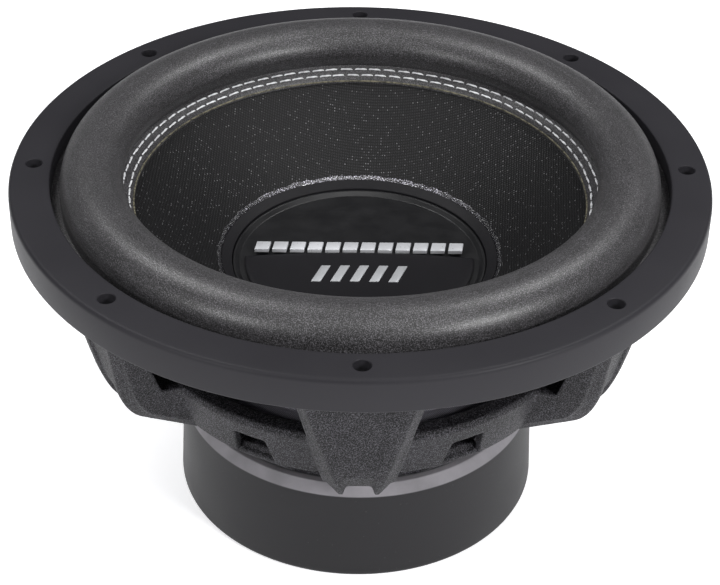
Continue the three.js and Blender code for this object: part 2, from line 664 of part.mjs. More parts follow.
function magnetBoot() {
  const top = hubZ - GAP;
  const wallR = MAGNET_R + GAP;
  const plateSeatZ = topPlateZ + GAP;
  const footR = bootR + BOOT_FLARE;
  return turned([
    [BOOT_LIP_R, 0], [footR - BOOT_FOOT_EDGE, 0],
    [footR - 0.3 * BOOT_FOOT_EDGE, 0.3 * BOOT_FOOT_EDGE], [footR, BOOT_FOOT_EDGE],
    [bootR, top - BOOT_CHAMFER_H], [bootR - BOOT_CHAMFER_IN, top], [plateR + GAP, top],
    [plateR + GAP, plateSeatZ], [wallR, plateSeatZ], [wallR, BOOT_LIP], [BOOT_LIP_R, BOOT_LIP],
  ], ROUND);
}

// ---------------------------------------------------------------- terminals at the back
const blockY = padY + GAP;
const blockZ = hubZ + TERMINAL_RISE;
const buttonZ = blockZ + TERMINAL_H - BUTTON_W / 2 - BUTTON_MARGIN;
const portZ = blockZ + PORT_W / 2 + PORT_MARGIN;
const buttonFaceY = blockY + TERMINAL_D + BUTTON_PROUD;
const buttonBackY = buttonFaceY - BUTTON_L;
const stripY = buttonBackY - BUTTON_TRAVEL - GAP - STRIP_T / 2;

function terminalScrewPlaces() {
  return [-TERMINAL_X, TERMINAL_X].map((x) => [x, blockZ + TERMINAL_H / 2]);
}

function terminalScrewHole(x, z) {
  const depth = TERMINAL_SCREW_GRIP + PAST;
  const hole = rod(TERMINAL_SCREW_R + GAP, depth + TERMINAL_D + PAST, 0);
  return moved(hole, [-90, 0, 0], [x, blockY - depth, z]);
}

function terminalScrew(x, z) {
  const seat = TERMINAL_D + TERMINAL_SCREW_GRIP;
  const top = seat + TERMINAL_SCREW_HEAD;
  const [shank, head] = [TERMINAL_SCREW_R, 2 * TERMINAL_SCREW_R];
  const screw = turned([
    [0, 0], [shank, 0], [shank, seat], [head, seat], [head, seat + 0.6 * TERMINAL_SCREW_HEAD],
    [shank, top], [0, top],
  ], SMALL);
  return moved(screw, [-90, 0, 0], [x, blockY - TERMINAL_SCREW_GRIP, z]);
}

function terminalBlock(side) {
  const x = side * TERMINAL_X;
  const body = box(TERMINAL_W, TERMINAL_D, TERMINAL_H, x, blockY + TERMINAL_D / 2, blockZ);
  const cutters = [terminalScrewHole(x, blockZ + TERMINAL_H / 2)];
  for (const hand of [-1, 1]) {
    const cx = x + (hand * BUTTON_PITCH) / 2;
    const room = BUTTON_W + 2 * GAP;
    const pocketY = stripY - STRIP_T / 2 - GAP;
    const pocketD = blockY + TERMINAL_D + PAST - pocketY;
    cutters.push(box(room, pocketD, room, cx, pocketY + pocketD / 2, buttonZ - room / 2));
    const portY = blockY + TERMINAL_D - PORT_DEPTH;
    const portD = PORT_DEPTH + PAST;
    cutters.push(box(PORT_W, portD, PORT_W, cx, portY + portD / 2, portZ - PORT_W / 2));
    const slotW = STRIP_W + 2 * GAP;
    const slotD = STRIP_T + 2 * GAP;
    cutters.push(box(slotW, slotD, TERMINAL_H, cx, stripY, portZ));
  }
  return body.subtract(joinAll(cutters));
}

function terminalButton(cx) {
  const shaft = box(BUTTON_W, BUTTON_L, BUTTON_W, cx, buttonBackY + BUTTON_L / 2, buttonZ - BUTTON_W / 2);
  const groove = rod(BUTTON_GRIP_R, BUTTON_W - 2 * BUTTON_GRIP_R, 0);
  const grip = moved(groove, [0, 90, 0], [cx - BUTTON_W / 2 + BUTTON_GRIP_R, buttonFaceY, buttonZ]);
  return shaft.subtract(grip);
}

function terminalContact(cx) {
  const foot = portZ + GAP;
  return box(STRIP_W, STRIP_T, blockZ + TERMINAL_H + TAB_RISE - foot, cx, stripY, foot);
}

// Braided lead from a contact tab, over the landing, to the back of the cone.
function tinselLead(cx) {
  const tabZ = blockZ + TERMINAL_H + TAB_RISE;
  const endR = CAP_R;
  const turn = Math.atan2(cx, stripY);
  const backZ = coneFaceZ(endR) - CONE_T * Math.hypot(1, coneSlope) - 3 * LEAD_R;
  const path = new THREE.CatmullRomCurve3([
    new THREE.Vector3(cx, stripY, tabZ + GAP),
    new THREE.Vector3(cx * 0.99, stripY - 1, tabZ + 5),
    new THREE.Vector3(cx * 0.88, stripY * 0.86, tabZ + 8),
    new THREE.Vector3(Math.sin(turn) * (endR + 16), Math.cos(turn) * (endR + 16), backZ - 2),
    new THREE.Vector3(Math.sin(turn) * (endR + 4), Math.cos(turn) * (endR + 4), backZ),
    new THREE.Vector3(Math.sin(turn) * endR, Math.cos(turn) * endR, backZ + LEAD_R),
  ]);
  const section = new THREE.Shape();
  section.absarc(0, 0, LEAD_R, 0, 2 * Math.PI);
  return toSolid(new THREE.ExtrudeGeometry(section, {
    steps: 12, curveSegments: 4, extrudePath: path, bevelEnabled: false,
  }));
}

// ---------------------------------------------------------------- assembly
add("basket", basket(), "castMetal");
add("trim_ring", trimRing(), "satinPlastic");
add("surround", surround(), "foam");
add("cone", cone(), "weave");
const stitchInnerR = lipInnerR + STITCH_IN;
add("stitch_inner", stitchRow(stitchInnerR), "thread");
add("stitch_outer", stitchRow(stitchInnerR + STITCH_PITCH), "thread");
add("cap_ring", capRing(), "satinPlastic");
add("dust_cap", dustCap(), "glossPlastic");
add("cap_emblem", emblemBar(), "silver");

const formerFootZ = windingZ - PAST;
add("voice_coil_former", tube(COIL_BORE_R, formerR, formerFootZ, neckZ + FORMER_ABOVE), "aluminium");
const innerCoilR = formerR + GAP;
const outerCoilR = innerCoilR + WINDING_T + GAP;
const winding = (innerR) => tube(innerR, innerR + WINDING_T, windingZ, windingZ + WINDING_H);
add("coil_winding_inner", winding(innerCoilR), "copper");
add("coil_winding_outer", winding(outerCoilR), "copper");
add("spider", spider(), "spider");

add("top_plate", topPlate(), "steel");
add("magnet_upper", tube(magnetBoreR, MAGNET_R, upperMagnetZ, topPlateZ), "ferrite");
add("magnet_lower", tube(magnetBoreR, MAGNET_R, lowerMagnetZ, upperMagnetZ), "ferrite");
add("yoke", yoke(), "steel");
const shortingTopZ = lowerMagnetZ + SHORTING_RING_H;
add("shorting_ring", tube(shortingR, shortingOuterR, lowerMagnetZ, shortingTopZ), "aluminium");
add("vent_screen", ventScreen(), "steel");
add("magnet_boot", magnetBoot(), "rubber");
plateScrewPlaces().forEach(([x, y], i) => {
  const screw = add(`plate_screw_${i + 1}`, plateScrew(), "steel");
  screw.position.set(x, y, 0);
});

for (const [name, side] of [["left", -1], ["right", 1]]) {
  add(`terminal_block_${name}`, terminalBlock(side), "satinPlastic");
  const [x, z] = terminalScrewPlaces()[side < 0 ? 0 : 1];
  add(`terminal_screw_${name}`, terminalScrew(x, z), "steel");
  for (const [pole, hand] of [["minus", -1], ["plus", 1]]) {
    const cx = side * TERMINAL_X + (hand * BUTTON_PITCH) / 2;
    add(`button_${name}_${pole}`, terminalButton(cx), pole === "plus" ? "redPlastic" : "glossPlastic");
    add(`contact_${name}_${pole}`, terminalContact(cx), "steel");
    add(`tinsel_lead_${name}_${pole}`, tinselLead(cx), "braid");
  }
}

export default subwoofer;
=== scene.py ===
"""Looks of a twelve-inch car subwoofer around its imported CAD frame.

Outlines are in millimetres in the CAD's own frame, with +Z up and azimuth 0 along -Y, and are scaled
to metres when a mesh is made. Overall sizes and levels come from the frame.
"""

import math
import random

import bmesh
import bpy
from mathutils import Matrix, Vector
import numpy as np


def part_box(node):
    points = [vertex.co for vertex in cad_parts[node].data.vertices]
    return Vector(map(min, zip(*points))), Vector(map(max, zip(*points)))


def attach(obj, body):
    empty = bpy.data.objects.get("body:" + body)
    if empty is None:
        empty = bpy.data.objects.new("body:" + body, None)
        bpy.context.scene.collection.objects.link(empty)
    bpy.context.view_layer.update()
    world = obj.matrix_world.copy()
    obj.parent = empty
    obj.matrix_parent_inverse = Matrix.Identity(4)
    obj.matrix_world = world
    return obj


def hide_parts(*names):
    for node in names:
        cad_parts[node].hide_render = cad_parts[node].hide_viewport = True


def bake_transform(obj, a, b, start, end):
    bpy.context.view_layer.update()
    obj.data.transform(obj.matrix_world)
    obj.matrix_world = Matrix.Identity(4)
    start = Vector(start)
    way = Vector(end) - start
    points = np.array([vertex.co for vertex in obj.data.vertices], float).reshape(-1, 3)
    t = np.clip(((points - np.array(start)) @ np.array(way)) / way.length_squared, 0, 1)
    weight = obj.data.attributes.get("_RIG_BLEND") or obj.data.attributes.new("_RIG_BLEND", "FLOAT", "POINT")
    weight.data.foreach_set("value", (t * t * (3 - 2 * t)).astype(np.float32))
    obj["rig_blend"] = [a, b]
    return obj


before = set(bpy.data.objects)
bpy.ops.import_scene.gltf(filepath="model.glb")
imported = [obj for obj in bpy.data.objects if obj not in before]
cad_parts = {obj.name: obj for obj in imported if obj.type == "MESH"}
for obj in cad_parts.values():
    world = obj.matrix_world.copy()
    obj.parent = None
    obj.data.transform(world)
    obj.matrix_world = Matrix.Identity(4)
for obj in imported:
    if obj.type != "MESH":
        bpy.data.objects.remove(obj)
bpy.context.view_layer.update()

# -------- sizes
MM = 0.001
X, Y, Z = 0, 1, 2
FRAME_BODY = "frame"
CONE_BODY = "cone_assembly"


def low(node, axis):
    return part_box(node)[0][axis] / MM


def high(node, axis):
    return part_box(node)[1][axis] / MM


def span(node, axis):
    return high(node, axis) - low(node, axis)


def middle(node, axis):
    return (low(node, axis) + high(node, axis)) / 2


def bore(node):
    """Inner radius of a round node about the axis."""
    return min(math.hypot(v.co.x, v.co.y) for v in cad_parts[node].data.vertices) / MM


def add_object(name, data):
    obj = bpy.data.objects.new(name, data)
    bpy.context.scene.collection.objects.link(obj)
    return obj


GAP = 0.3  # clearance between neighbouring pieces
SINK = 0.5  # how far joined features of one piece reach into each other
PAST = 1  # how far a cutter reaches past the surface that it cuts

ring_r = high("trim_ring", X)
ring_top = high("trim_ring", Z)
ring_inner = bore("trim_ring")
flange_z = low("trim_ring", Z)
flange_top = high("basket", Z)
flange_r = high("basket", X)
hub_z = low("basket", Z)
boot_r = high("magnet_boot", X)
boot_top = high("magnet_boot", Z)
cap_r = high("cap_ring", X)
cap_inner = bore("cap_ring")
crest_z = high("surround", Z)
lip_r = high("surround", X)
stitched_r = high("cone", X) - GAP
neck_r = bore("cone")
plate_r = high("top_plate", X)

# basket details
HUB_OUT = 1
HUB_T = 7
LANDING_H = 47.7
LANDING_R = 107
BAND_H = 29.1
BAND_FOOT_R = 98.4
BAND_T = 3.2
BAND_CHAMFER_H = 3.2
BAND_CHAMFER_OUT = 0.6
LEDGE_DROP = 8.7
LEDGE_T = 4
LEDGE_OUTER_R = 98.8
LEDGE_INNER_R = 87
SPOKES = 6
SPOKE_HALF_AT_KNEE = 12.72
SPOKE_SPREAD_UP = 0.282
SPOKE_SPREAD_IN = 0.269
SPOKE_FACE_IN = 16
KNEE_R = 127.9
KNEE_H = 30.6
KNEE_UP = 22.5
KNEE_IN = 10
KNEE_STEPS = 12
SPOKE_FOOT_H = 4.8
SPOKE_BACK_R = 114.1
SPOKE_TOE = 11
SPOKE_HEEL = 3
SPOKE_GUSSET = 4
FACE_PAST_TOP = 0.25  # how far cutters run on, as a share of the face's end stretch
FACE_PAST_FOOT = 0.05
FLUTE_DEPTH = 4.6
FLUTE_FLOOR = 10.6
FLUTE_FLOOR_SPREAD = 0.6  # how much the floor widens for each bit that the mouth does
FLUTE_WALL = 1
FLUTE_SHARE = 0.73  # mouth over the spoke's width, at the flange
FLUTE_DEPTH_UP = 1.3  # depth above the knee
FLUTE_SHOAL_BELOW = 8  # how far below the knee it starts to get that shallow
FLUTE_SHOAL_H = 20
SPOKE_BEVEL = 2.7
SPOKE_BEVEL_FOOT = 5.5
WINDOW_TURN = 28
WINDOW_H = 17.1
WINDOW_HALF_TOP = 7.6
WINDOW_HALF_FOOT = 9.8
WINDOW_PAST = 4
SILL_R = 92.5
SILL_H = 2.6
SILL_T = 4
SILL_SIDE = 2
HOLE_CUT_BELOW = 10
HOLE_CUT_H = 40
ROOM_ABOVE = 20
PAD_SIDE = 2
PAD_END = 1.5
PAD_DEPTH = 16
VOXEL = 0.8  # of the skin that rounds the casting's edges

# boot details
BOOT_FLARE = 2.3
BOOT_CHAMFER_H = 5.6
BOOT_CHAMFER_IN = 3
BOOT_FOOT_ROUND = 2.4
BOOT_ROUND = 0.9
BOOT_LIP_T = 2

# ring, surround and cone details
RING_SKIRT = 4.2
RING_OUTER_ROUND = 2.4
RING_INNER_ROUND = 1.1
RING_FOOT_ROUND = 0.9
SCREW_CIRCLE_IN = 10.4
SCREW_HOLE_R = 3.8
SCREW_HOLES = 8
HOLE_EDGE = 0.4
LIP_T = 1.6
FOAM_T = 2.3
RING_TO_ROLL = 4.5
ROLL_W = 28.6
ROLL_RISE = 12
LIP_IN = 4.3
LIP_SLOPE = 0.464
CONE_T = 1.2
CONE_RIM_IN = 0.7
NECK_H = 4
NECK_T = 1.4
STITCHES = 95
STITCH_R = 0.45
STITCH_SHARE = 0.42  # half of a stitch's length as a share of the pitch
STITCH_STRAY = 0.05  # of the pitch, either way
STITCH_LEAN = 0.25
STITCH_IN = 2.3
STITCH_PITCH = 3.3

hub_r = plate_r + HUB_OUT
landing_z = hub_z + LANDING_H
ledge_z = landing_z - LEDGE_DROP
band_foot_z = landing_z - BAND_H
band_outer_r = LANDING_R + BAND_CHAMFER_OUT
spoke_face_r = ring_r - SPOKE_FACE_IN
screw_circle_r = ring_r - SCREW_CIRCLE_IN
lip_top = flange_top + LIP_T
roll_outer = ring_inner - RING_TO_ROLL
roll_inner = roll_outer - ROLL_W
roll_mid = (roll_outer + roll_inner) / 2
roll_axis = crest_z - ROLL_RISE
lip_inner = roll_inner - LIP_IN
cone_rim_r = lip_inner - CONE_RIM_IN
cone_rim_z = flange_z
neck_z = low("cone", Z) + NECK_H
cone_slope = (cone_rim_z - neck_z) / (cone_rim_r - neck_r)


# -------- camera, light and floor
CAMERA_AIM = Vector((0, 0, ring_top * MM))
CAMERA_DISTANCE = 0.9122
CAMERA_ELEVATION = 31.72
CAMERA_AZIMUTH = -0.7
CAMERA_PITCH = -35.35
CAMERA_YAW = -0.043
CAMERA_ROLL = 1.0
CAMERA_LENS = 99.35


def make_camera():
    elevation = math.radians(CAMERA_ELEVATION)
    azimuth = math.radians(CAMERA_AZIMUTH)
    flat = math.cos(elevation) * CAMERA_DISTANCE
    place = CAMERA_AIM + Vector((
        flat * math.sin(azimuth), -flat * math.cos(azimuth), math.sin(elevation) * CAMERA_DISTANCE,
    ))
    turn = (
        Matrix.Rotation(azimuth + math.radians(CAMERA_YAW), 4, "Z")
        @ Matrix.Rotation(math.radians(90 + CAMERA_PITCH), 4, "X")
        @ Matrix.Rotation(math.radians(CAMERA_ROLL), 4, "Z")
    )
    data = bpy.data.cameras.new("camera")
    data.lens = CAMERA_LENS
    data.sensor_width = 36
    data.clip_start = 0.05
    camera = add_object("camera", data)
    camera.matrix_world = Matrix.Translation(place) @ turn
    bpy.context.scene.camera = camera


def softbox(name, place, size, power):
    data = bpy.data.lights.new(name, "AREA")
    data.shape = "RECTANGLE"
    data.size, data.size_y = size
    data.energy = power
    lamp = add_object(name, data)
    lamp.location = place
    lamp.rotation_euler = (CAMERA_AIM - Vector(place)).to_track_quat("-Z", "Y").to_euler()


def make_light():
    world = bpy.data.worlds.new("studio")
    world.use_nodes = True
    background = world.node_tree.nodes["Background"]
    background.inputs["Color"].default_value = (0.95, 0.97, 1.0, 1)
    background.inputs["Strength"].default_value = 0.1
    bpy.context.scene.world = world
    bpy.context.scene.view_settings.view_transform = "Standard"
    softbox("overhead_left", (-0.62, 0.5, 1.5), (0.4, 0.5), 9)
    softbox("overhead_right", (0.62, 0.5, 1.5), (0.4, 0.5), 9)
    softbox("overhead_front", (0.12, -0.62, 1.5), (1.3, 0.45), 6)
    softbox("key_left", (-0.85, -0.85, 0.8), (0.28, 0.28), 6)
    softbox("key_right", (0.85, -0.85, 0.8), (0.28, 0.28), 12)


# -------- material helpers
class Shader:
    """A node material on one Principled shader, with short calls for its nodes."""

    def __init__(self, name, **sockets):
        self.material = bpy.data.materials.new(name)
        self.material.use_nodes = True
        self.tree = self.material.node_tree
        self.base = self.tree.nodes["Principled BSDF"]
        for socket, value in sockets.items():
            self.base.inputs[socket.replace("_", " ")].default_value = value
        self.place = self.node("ShaderNodeTexCoord").outputs["Object"]

    def node(self, kind, settings=None, **inputs):
        node = self.tree.nodes.new(kind)
        for key, value in (settings or {}).items():
            setattr(node, key, value)
        for key, value in inputs.items():
            slot = node.inputs[int(key[1:])] if key[0] == "i" and key[1:].isdigit() else node.inputs[key]
            self.feed(slot, value)
        return node

    def feed(self, socket, value):
        if isinstance(value, bpy.types.NodeSocket):
            self.tree.links.new(value, socket)
        else:
            socket.default_value = value

    def math(self, operation, a, b=0.0):
        return self.node("ShaderNodeMath", {"operation": operation}, i0=a, i1=b).outputs[0]

    def noise(self, scale, detail=3.0, stretch=None):
        vector = self.place
        if stretch:
            vector = self.node("ShaderNodeMapping", Vector=vector, Scale=stretch).outputs["Vector"]
        node = self.node("ShaderNodeTexNoise", Vector=vector, Scale=scale, Detail=detail)
        return node.outputs["Fac"]

    def along(self, axis):
        """Position along X, Y or Z, in metres."""
        return self.node("ShaderNodeSeparateXYZ", Vector=self.place).outputs[axis]

    def mix(self, share, first, second, blend="MIX"):
        settings = {"data_type": "RGBA", "blend_type": blend}
        return self.node("ShaderNodeMix", settings, i0=share, i6=first, i7=second).outputs[2]

    def cells(self, scale):
        return self.node("ShaderNodeTexVoronoi", Vector=self.place, Scale=scale).outputs["Distance"]

    def ramp(self, factor, *stops):
        """Colour ramp from (position, colour) stops."""
        node = self.node("ShaderNodeValToRGB", Fac=factor)
        elements = node.color_ramp.elements
        while len(elements) < len(stops):
            elements.new(0.5)
        for element, (position, colour) in zip(elements, stops):
            element.position = position
            element.color = (*colour, 1)
        return node.outputs["Color"]

    def ranged(self, factor, from_low, from_high, low_value, high_value):
        node = self.node("ShaderNodeMapRange", i0=factor)
        for slot, value in zip((1, 2, 3, 4), (from_low, from_high, low_value, high_value)):
            node.inputs[slot].default_value = value
        return node.outputs["Result"]

    def colour(self, socket):
        self.feed(self.base.inputs["Base Color"], socket)

    def roughness(self, socket):
        self.feed(self.base.inputs["Roughness"], socket)

    def bump(self, height, distance, strength, under=None):
        node = self.node("ShaderNodeBump", Height=height, Distance=distance * MM, Strength=strength)
        if under is not None:
            self.feed(node.inputs["Normal"], under)
        self.feed(self.base.inputs["Normal"], node.outputs["Normal"])
        return node.outputs["Normal"]

    def surfaced(self, mask, rough, relief, depth, strength, over=(0.3, 0.7)):
        """Last step of most materials: roughness over part of a mask, and one bump."""
        self.roughness(self.ranged(mask, *over, *rough))
        self.bump(relief, depth, strength)
        return self.material


def grey(value, blue=0.14):
    """Dark neutral colour with the faint blue-violet cast that all the black parts share."""
    return (value * 1.02, value * 0.98, value * (1 + blue))


# -------- materials
def cast_metal():
    """Textured powder coat on cast aluminium: small pale peaks on a darker ground."""
    s = Shader("cast_metal", Specular_IOR_Level=0.18)
    peaks = s.noise(2100, 3.0)
    broad = s.noise(35, 3.0)
    grain = s.math("ADD", peaks, s.math("MULTIPLY", broad, 0.1))
    s.colour(s.ramp(grain, (0.43, grey(0.001)), (0.56, grey(0.007)), (0.68, grey(0.075))))
    s.roughness(s.ranged(peaks, 0.35, 0.7, 0.66, 0.42))
    s.bump(peaks, 0.32, 0.9, s.bump(s.noise(420, 2.0), 0.15, 0.4))
    return s.material


def satin_plastic(name, value, smooth=0.46):
    """Moulded plastic with a fine spark-eroded grain and faint flow marks."""
    s = Shader(name, Specular_IOR_Level=0.14)
    fine = s.noise(3200, 2.0)
    flow = s.noise(18, 4.0)
    s.colour(s.ramp(flow, (0.3, grey(value * 0.94)), (0.7, grey(value * 1.06))))
    return s.surfaced(flow, (smooth - 0.04, smooth + 0.06), fine, 0.08, 0.55)


def foam():
    """Coated foam: fine pale grains, close together, over dark grey."""
    s = Shader("foam", Specular_IOR_Level=0.55, Sheen_Weight=0.05, Sheen_Roughness=0.5)
    grain = s.noise(2300, 3.0)
    broad = s.noise(60, 3.0)
    mixed = s.math("ADD", grain, s.math("MULTIPLY", broad, 0.06))
    s.colour(s.ramp(mixed, (0.4, grey(0.005, 0.0)), (0.54, grey(0.023, 0.03)), (0.69, grey(0.13, 0.06))))
    return s.surfaced(grain, (0.46, 0.36), grain, 0.09, 0.7, (0.35, 0.65))


def weave(name, pitch, dark, light, glint, turn=0.0, depth=0.25, smooth=0.32):
    """Plain weave laid flat across the piece: a grid of crowns, some of which catch the light."""
    s = Shader(name, Specular_IOR_Level=0.3)
    laid = s.node("ShaderNodeMapping", Vector=s.place, Rotation=(0, 0, math.radians(turn)),
                  Scale=(1 / (pitch * MM),) * 3)
    axes = s.node("ShaderNodeSeparateXYZ", Vector=laid.outputs["Vector"])
    u, v = axes.outputs["X"], axes.outputs["Y"]

    across = s.math("ABSOLUTE", s.math("SINE", s.math("MULTIPLY", u, math.pi)))
    along = s.math("ABSOLUTE", s.math("SINE", s.math("MULTIPLY", v, math.pi)))
    height = s.math("MULTIPLY", across, along)
    cell = s.node("ShaderNodeCombineXYZ", X=s.math("FLOOR", u), Y=s.math("FLOOR", v))
    random_cell = s.node("ShaderNodeTexWhiteNoise", Vector=cell.outputs["Vector"]).outputs["Value"]
    crown = s.ranged(height, 0.75, 1.0, 0.0, 1.0)
    spark = s.math("MULTIPLY", s.ranged(random_cell, 0.86, 1.0, 0.0, glint), crown)
    base = s.ramp(height, (0.3, grey(dark)), (0.9, grey(light)))
    s.colour(s.mix(spark, base, (0.7, 0.7, 0.72, 1), "ADD"))
    return s.surfaced(height, (smooth + 0.35, smooth), height, depth, 0.9, (0.2, 1.0))


def gloss_plastic(name, colour, smooth):
    """Polished plastic with faint handling marks in its gloss."""
    s = Shader(name, Specular_IOR_Level=0.4, Coat_Weight=0.05, Coat_Roughness=0.25)
    marks = s.noise(90, 5.0)
    s.colour(s.ramp(marks, (0.35, tuple(c * 0.85 for c in colour)), (0.65, colour)))
    return s.surfaced(marks, (smooth, smooth + 0.12), s.noise(1200, 2.0), 0.03, 0.3, (0.35, 0.7))


def metal(name, colour, smooth, brushed=(1, 1, 1), metallic=1.0):
    """Bare or plated metal with drawn or turned marks along one direction."""
    s = Shader(name, Metallic=metallic)
    lines = s.noise(900, 4.0, brushed)
    tone = s.noise(40, 3.0)
    s.colour(s.ramp(tone, (0.35, tuple(c * 0.8 for c in colour)), (0.65, colour)))
    return s.surfaced(lines, (smooth - 0.08, smooth + 0.1), lines, 0.04, 0.5)


def rubber():
    """Satin rubber with a fine grain, a few specks of dust and a painted highlight: the sloping shoulder is
    painted pale as if it caught the light.
    """
    s = Shader("rubber", Specular_IOR_Level=0.25)
    grain = s.noise(2200, 2.0)
    cloud = s.noise(14, 4.0)
    specks = s.ranged(s.cells(240), 0.0, 0.07, 1.0, 0.0)
    base = s.ramp(cloud, (0.3, grey(0.01)), (0.7, grey(0.013)))
    dusty = s.mix(s.math("MULTIPLY", specks, 0.35), base, (0.2, 0.2, 0.21, 1))
    shoulder_z = (boot_top - BOOT_CHAMFER_H) * MM
    shoulder = s.ranged(s.along("Z"), shoulder_z - 0.2 * MM, shoulder_z + 0.3 * MM, 0.0, 1.0)
    # painted highlight: from the shoulder's foot up, the rubber is coloured pale grey in place of the light
    # that the sloping shoulder catches
    shoulder_highlight = s.ramp(s.noise(60, 4.0), (0.35, grey(0.19, 0.05)), (0.65, grey(0.25, 0.05)))
    s.colour(s.mix(shoulder, dusty, shoulder_highlight))
    return s.surfaced(cloud, (0.42, 0.52), grain, 0.1, 0.5)


def ferrite():
    s = Shader("ferrite", Specular_IOR_Level=0.4)
    pores = s.cells(900)
    s.colour(s.ramp(s.noise(300, 4.0), (0.35, grey(0.03)), (0.65, grey(0.06))))
    return s.surfaced(pores, (0.85, 0.6), pores, 0.15, 0.6, (0.0, 0.6))


def thread():
    """Twisted polyester thread, off-white, with fibres along it."""
    s = Shader("thread", Specular_IOR_Level=0.6, Sheen_Weight=0.3, Sheen_Roughness=0.4)
    fibres = s.noise(2600, 3.0)
    tone = s.noise(130, 2.0)
    s.colour(s.ramp(s.math("ADD", s.math("MULTIPLY", fibres, 0.5), s.math("MULTIPLY", tone, 0.5)),
                    (0.36, (0.5, 0.5, 0.52)), (0.56, (0.85, 0.86, 0.88))))
    return s.surfaced(fibres, (0.5, 0.7), fibres, 0.12, 0.7)


def braid():
    s = Shader("braid", Metallic=0.9)
    wires = s.noise(2500, 2.0)
    s.colour(s.ramp(wires, (0.35, (0.3, 0.19, 0.09)), (0.65, (0.75, 0.56, 0.36))))
    return s.surfaced(wires, (0.3, 0.5), wires, 0.1, 0.7)


def backing_cloth():
    """Cut edge of woven cloth, in pale strands."""
    s = Shader("backing_cloth", Specular_IOR_Level=0.3)
    strands = s.noise(700, 3.0)
    s.colour(s.ramp(strands, (0.35, (0.03, 0.028, 0.02)), (0.65, (0.2, 0.185, 0.13))))
    return s.surfaced(strands, (0.6, 0.8), strands, 0.15, 0.6)


def glue():
    """Clear glue with painted highlights: pale glints painted on its lumps, most of them at the back of the
    object.
    """
    s = Shader("glue", Specular_IOR_Level=0.9, Coat_Weight=0.6, Coat_Roughness=0.08)
    lumps = s.noise(1500, 3.0)
    # painted highlight: the colour is pushed paler towards the back (+Y), so the pale glint spots gather at
    # the back of the bead
    back = s.ranged(s.along("Y"), 0.025, 0.055, 0.0, 0.12)
    glint_level = s.math("ADD", lumps, back)
    s.colour(s.ramp(glint_level, (0.5, grey(0.01)), (0.66, grey(0.03)), (0.76, grey(0.6))))
    return s.surfaced(lumps, (0.15, 0.3), lumps, 0.6, 1.0)


def backdrop():
    s = Shader("backdrop", Specular_IOR_Level=0.1, Emission_Strength=0.66)
    paper = s.ramp(s.noise(2.0), (0.3, (0.9, 0.9, 0.91)), (0.7, (0.93, 0.93, 0.94)))
    s.colour(paper)
    s.feed(s.base.inputs["Emission Color"], paper)
    s.roughness(s.ranged(s.noise(5.0), 0.3, 0.7, 0.85, 0.95))
    return s.material


# -------- mesh helpers
def make_object(name, vertices, faces, crease=35.0):
    """Mesh object from points in millimetres, smooth shaded up to the crease angle."""
    mesh = bpy.data.meshes.new(name)
    mesh.from_pydata([(x * MM, y * MM, z * MM) for x, y, z in vertices], [], faces)
    bm = bmesh.new()
    bm.from_mesh(mesh)
    bmesh.ops.remove_doubles(bm, verts=bm.verts, dist=1e-7)
    bmesh.ops.recalc_face_normals(bm, faces=bm.faces)
    if bm.calc_volume(signed=True) < 0:
        bmesh.ops.reverse_faces(bm, faces=bm.faces)
    bm.to_mesh(mesh)
    bm.free()
    obj = add_object(name, mesh)
    smooth(obj, crease)
    return obj


def smooth(obj, crease=35.0):
    obj.data.shade_smooth()
    obj.data.set_sharp_from_angle(angle=math.radians(crease))


def shares(steps):
    """Evenly spaced numbers from 0 to 1."""
    return [k / steps for k in range(steps + 1)]


def bend(start, corner, end, steps):
    """Points of a smooth bend that replaces a corner."""
    return [start * (1 - t) ** 2 + corner * 2 * t * (1 - t) + end * t ** 2 for t in shares(steps)]


def filleted(points, steps=5):
    """Closed outline of (r, z) or (r, z, radius) corners, with a round of that radius at each corner."""
    outline = []
    count = len(points)
    for i, point in enumerate(points):
        here = Vector(point[:2])
        radius = point[2] if len(point) > 2 else 0
        to_before = Vector(points[i - 1][:2]) - here
        to_after = Vector(points[(i + 1) % count][:2]) - here
        if radius == 0:
            outline.append(here)
            continue
        half = to_before.angle(to_after) / 2
        reach = min(radius / math.tan(half), 0.48 * to_before.length, 0.48 * to_after.length)
        start = here + to_before.normalized() * reach
        end = here + to_after.normalized() * reach
        outline += bend(start, here, end, steps)
    return [(p.x, p.y) for p in outline]


def circle(count):
    """Evenly spaced angles round a full turn."""
    return [2 * math.pi * k / count for k in range(count)]


def polar(r, turn, z):
    """Point at a radius and azimuth."""
    return (r * math.sin(turn), -r * math.cos(turn), z)


def turned(name, outline, segments=256, crease=35.0):
    """Closed outline revolved about the axis. Points on the axis become one vertex."""
    vertices = [polar(r, turn, z) for turn in circle(segments) for r, z in outline]
    faces = []
    count = len(outline)
    for i in range(segments):
        a, b = i * count, ((i + 1) % segments) * count
        for k in range(count):
            n = (k + 1) % count
            if outline[k][0] == 0 and outline[n][0] == 0:
                continue
            faces.append((a + k, a + n, b + n, b + k))
    return make_object(name, vertices, faces, crease)


def washer(name, inner, outer, foot, top):
    return turned(name, [(inner, foot), (outer, foot), (outer, top), (inner, top)])


def swept(name, rings, closed_ends=True):
    """Skin over a row of equal rings of points."""
    count = len(rings[0])
    vertices = [point for ring in rings for point in ring]
    faces = []
    for i in range(len(rings) - 1):
        for k in range(count):
            n = (k + 1) % count
            faces.append((i * count + k, i * count + n, (i + 1) * count + n, (i + 1) * count + k))
    if closed_ends:
        faces.append(tuple(range(count)))
        faces.append(tuple((len(rings) - 1) * count + k for k in range(count)))
    return make_object(name, vertices, faces)


def box(name, size, place):
    """Block of a width, depth and height, standing on a centre point."""
    half_w, half_d, height = size[0] / 2, size[1] / 2, size[2]
    x, y, z = place
    corners = [(-half_w, -half_d), (half_w, -half_d), (half_w, half_d), (-half_w, half_d)]
    rings = [[(x + dx, y + dy, level) for dx, dy in corners] for level in (z, z + height)]
    return swept(name, rings)


